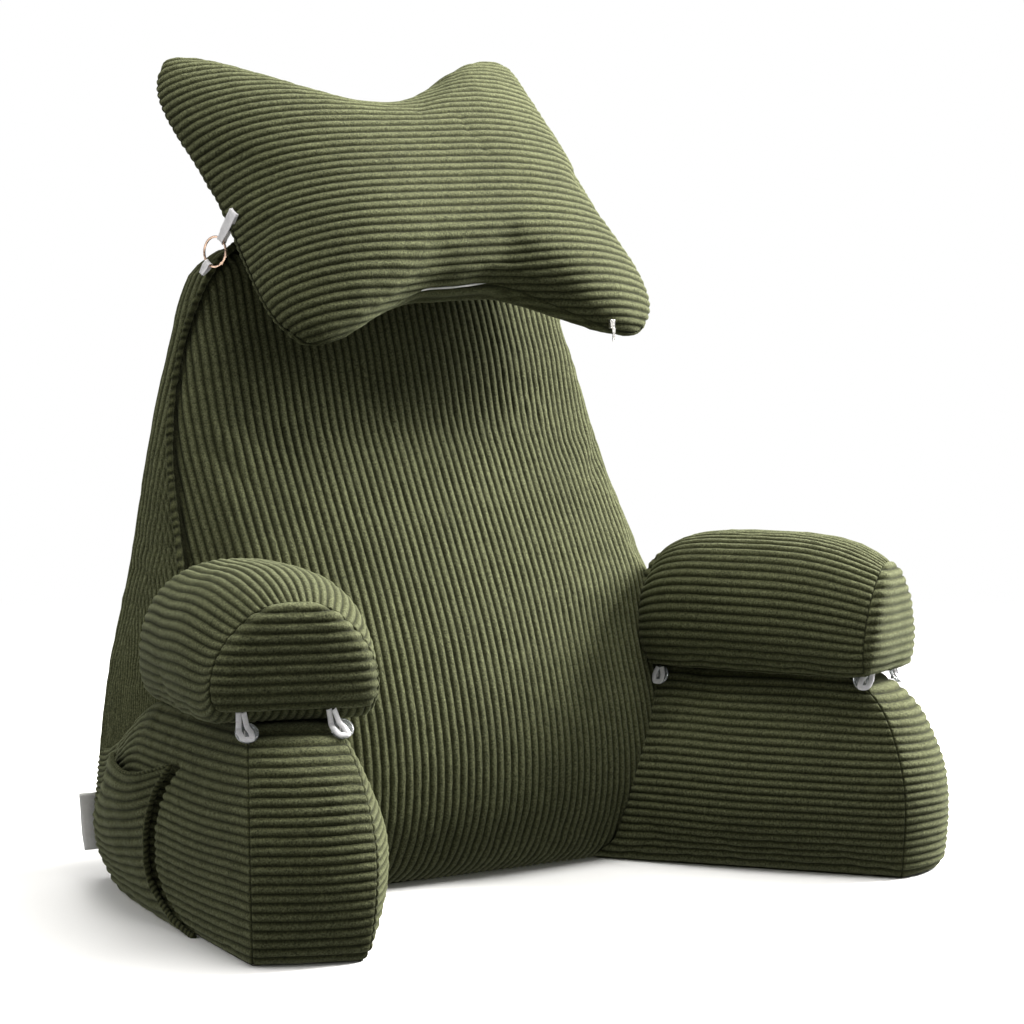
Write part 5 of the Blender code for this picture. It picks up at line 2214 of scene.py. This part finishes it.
@dataclass
class CareLabel:
    """The blank care label, sewn in at the lower rear edge."""

    half_width: float = 0.0125
    slant: float = 0.0028     # how far its top and foot lie to either side of its middle
    bow: float = 0.0016
    drop: float = 0.008       # how far it hangs under the place that its solid holds

    def build(self, finishes: Finishes) -> None:
        """Make and dress the label.

        Args:
            finishes: The pillow's finishes.
        """
        low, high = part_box("care_label")
        t = np.linspace(0, 1, 18)
        x = lerp((low.x + high.x) / 2 - self.slant, (low.x + high.x) / 2 + self.slant, t)
        y = (low.y + high.y) / 2 + self.bow * np.sin(pi * t) - 0.0004
        line = np.stack([x, y, lerp(high.z, low.z, t) - self.drop], -1)
        half = self.half_width * (1 - 0.03 * np.sin(2 * pi * t))
        label = strip("care_label_tape", line, np.broadcast_to(np.array([1.0, 0.0, 0.0]), line.shape), half,
                      0.0009, finishes.tape.make(), curl=0.0009)
        dress(label, "care_label")
        LOG.info("care label")


# ---- studio ---------------------------------------------------------------------------------


@dataclass(frozen=True)
class Studio:
    """Pale floor, soft light from the viewer's right, and the camera at the photograph's angle."""

    eye: Spot = (-1.457, -2.074, 0.445)
    yaw: float = 37.18
    pitch: float = 2.64
    lens: float = 94.96
    aim: Spot = (0.0, -0.05, 0.35)
    lamps: tuple[tuple[str, float, float, float, float, float], ...] = (
        ("key", 74.0, 31.0, 3.0, 1.1, 390.0),
        ("top", 20.0, 80.0, 2.6, 2.0, 100.0),
        ("fill", -114.0, 28.0, 3.4, 2.2, 36.0),
    )                         # azimuth, elevation, distance, size and power
    lamp_colour: Colour = (1.0, 0.985, 0.96)
    ambient: float = 0.32
    floor_radius: float = 40.0
    fade: tuple[float, float] = (1.0, 3.2)     # where the floor starts to fade, and where it has

    def build(self) -> None:
        """Make the camera, the lights, the sky and the floor."""
        self._camera()
        for lamp in self.lamps:
            self._lamp(*lamp)
        self._sky()
        self._floor()
        bpy.context.scene.view_settings.view_transform = "Standard"
        LOG.info("studio built")

    def _camera(self) -> None:
        """The camera, fitted to the photograph."""
        data = bpy.data.cameras.new("camera")
        data.lens, data.sensor_width = self.lens, 36.0
        camera = bpy.data.objects.new("camera", data)
        camera.location = self.eye
        camera.rotation_euler = (radians(90 - self.pitch), 0.0, radians(-self.yaw))
        bpy.context.scene.collection.objects.link(camera)
        bpy.context.scene.camera = camera

    def _lamp(self, name: str, azimuth: float, elevation: float, distance: float, size: float,
              power: float) -> None:
        """A soft square lamp that faces the pillow, azimuth being from the front towards the right.

        Args:
            name: Its name.
            azimuth: In degrees.
            elevation: In degrees.
            distance: From the pillow.
            size: Its side.
            power: In watts.
        """
        a, e = radians(azimuth), radians(elevation)
        way = Vector((sin(a) * cos(e), -cos(a) * cos(e), sin(e)))
        data = bpy.data.lights.new(name, "AREA")
        data.shape, data.size, data.energy = "SQUARE", size, power
        data.color = self.lamp_colour
        lamp = bpy.data.objects.new(name, data)
        lamp.location = Vector(self.aim) + way * distance
        lamp.rotation_euler = (-way).to_track_quat("-Z", "Y").to_euler()
        bpy.context.scene.collection.objects.link(lamp)

    def _sky(self) -> None:
        """Even light from all round, with a white surround behind the pillow."""
        world = bpy.data.worlds.new("surround")
        world.use_nodes = True
        tree = world.node_tree
        ground = tree.nodes["Background"]
        ground.inputs["Color"].default_value = (1.0, 1.0, 1.0, 1.0)
        ground.inputs["Strength"].default_value = self.ambient
        white = tree.nodes.new("ShaderNodeBackground")
        white.inputs["Strength"].default_value = 1.0
        white.inputs["Color"].default_value = (1.0, 1.0, 1.0, 1.0)
        path = tree.nodes.new("ShaderNodeLightPath")
        either = tree.nodes.new("ShaderNodeMixShader")
        tree.links.new(path.outputs["Is Camera Ray"], either.inputs[0])
        tree.links.new(ground.outputs[0], either.inputs[1])
        tree.links.new(white.outputs[0], either.inputs[2])
        tree.links.new(either.outputs[0], tree.nodes["World Output"].inputs["Surface"])
        bpy.context.scene.world = world

    def _floor(self) -> None:
        """A wide pale floor that fades into the surround."""
        n = Nodes("pale_floor")
        grain = n.noise(3.0, 2.0)
        n.link(n.mix(grain, (0.90, 0.90, 0.89), (0.94, 0.94, 0.93)), n.shader.inputs["Base Color"])
        n.set(Roughness=0.9, Specular_IOR_Level=0.1)
        mesh = bpy.data.meshes.new("floor")
        disc = bmesh.new()
        bmesh.ops.create_circle(disc, cap_ends=True, segments=96, radius=self.floor_radius)
        disc.to_mesh(mesh)
        disc.free()
        floor = placed(mesh, n.material)
        far = n.add("ShaderNodeEmission")
        far.inputs["Strength"].default_value = 1.0
        length = n.add("ShaderNodeVectorMath", operation="LENGTH")
        n.link(n.place(), length.inputs[0])
        blend = n.add("ShaderNodeMixShader")
        n.link(n.spread(length.outputs["Value"], *self.fade, 0.0, 1.0), blend.inputs[0])
        n.link(n.shader.outputs[0], blend.inputs[1])
        n.link(far.outputs[0], blend.inputs[2])
        n.link(blend.outputs[0], n.tree.nodes["Material Output"].inputs["Surface"])
        floor.visible_diffuse = False


def closures() -> list[ButtonClosure]:
    """The six buttons with their loops.

    Returns:
        The closures.
    """
    return [
        ButtonClosure("left_outer", (-0.3550, -0.2789, 0.1750), -25, 40, 0.0091, 0.0170, -0.34),
        ButtonClosure("left_inner", (-0.2860, -0.3090, 0.1765), -25, 40, 0.0091, 0.0150, -0.60),
        ButtonClosure("left_rear", (-0.2129, -0.1078, 0.1698), 72, 22, 0.0072, 0.0045),
        ButtonClosure("right_outer", (0.3550, -0.2789, 0.1750), 25, 40, 0.0091, 0.0170),
        ButtonClosure("right_inner", (0.2775, -0.3155, 0.1780), -32, 20, 0.0091, 0.0075, 0.50),
        ButtonClosure("right_rear", (0.2127, -0.1078, 0.1698), -72, 22, 0.0072, 0.0045),
    ]


def ties() -> list[CornerTie]:
    """The two rings with their ribbons.

    Returns:
        The ties.
    """
    return [
        CornerTie(Side.LEFT, (-0.2000, 0.0242, 0.5666), (0.970, 0.242, 0.0), (-0.1975, -0.0050, 0.6012),
                  (-0.2052, 0.0391, 0.5470)),
        CornerTie(Side.RIGHT, (0.2060, 0.0174, 0.5735), (-0.970, 0.242, 0.0), (0.2000, -0.0120, 0.6165),
                  (0.2045, 0.0391, 0.5470)),
    ]


def main() -> None:
    """Build every piece in order, and note the sizes."""
    logging.basicConfig(level=logging.INFO, format="%(message)s")
    finishes = Finishes()
    Studio().build()
    backrest = Backrest()
    arms = [Arm(Side.LEFT, backrest), Arm(Side.RIGHT, backrest, foot_spread=0.012)]
    bolsters = [Bolster(Side.LEFT, backrest, height=0.121, half_width=0.080),
                Bolster(Side.RIGHT, backrest, half_length=0.135, rear_narrowing=0.30, rear_short=0.20,
                        end_skew=0.012, end_lift=0.002)]
    parts = [backrest, *arms, *bolsters, HeadPillow(), Pocket(arms[0]), SeamWelt(backrest), *closures(),
             *ties(), CareLabel()]
    for part in parts:
        part.build(finishes)


if __name__ == "__main__":
    main()
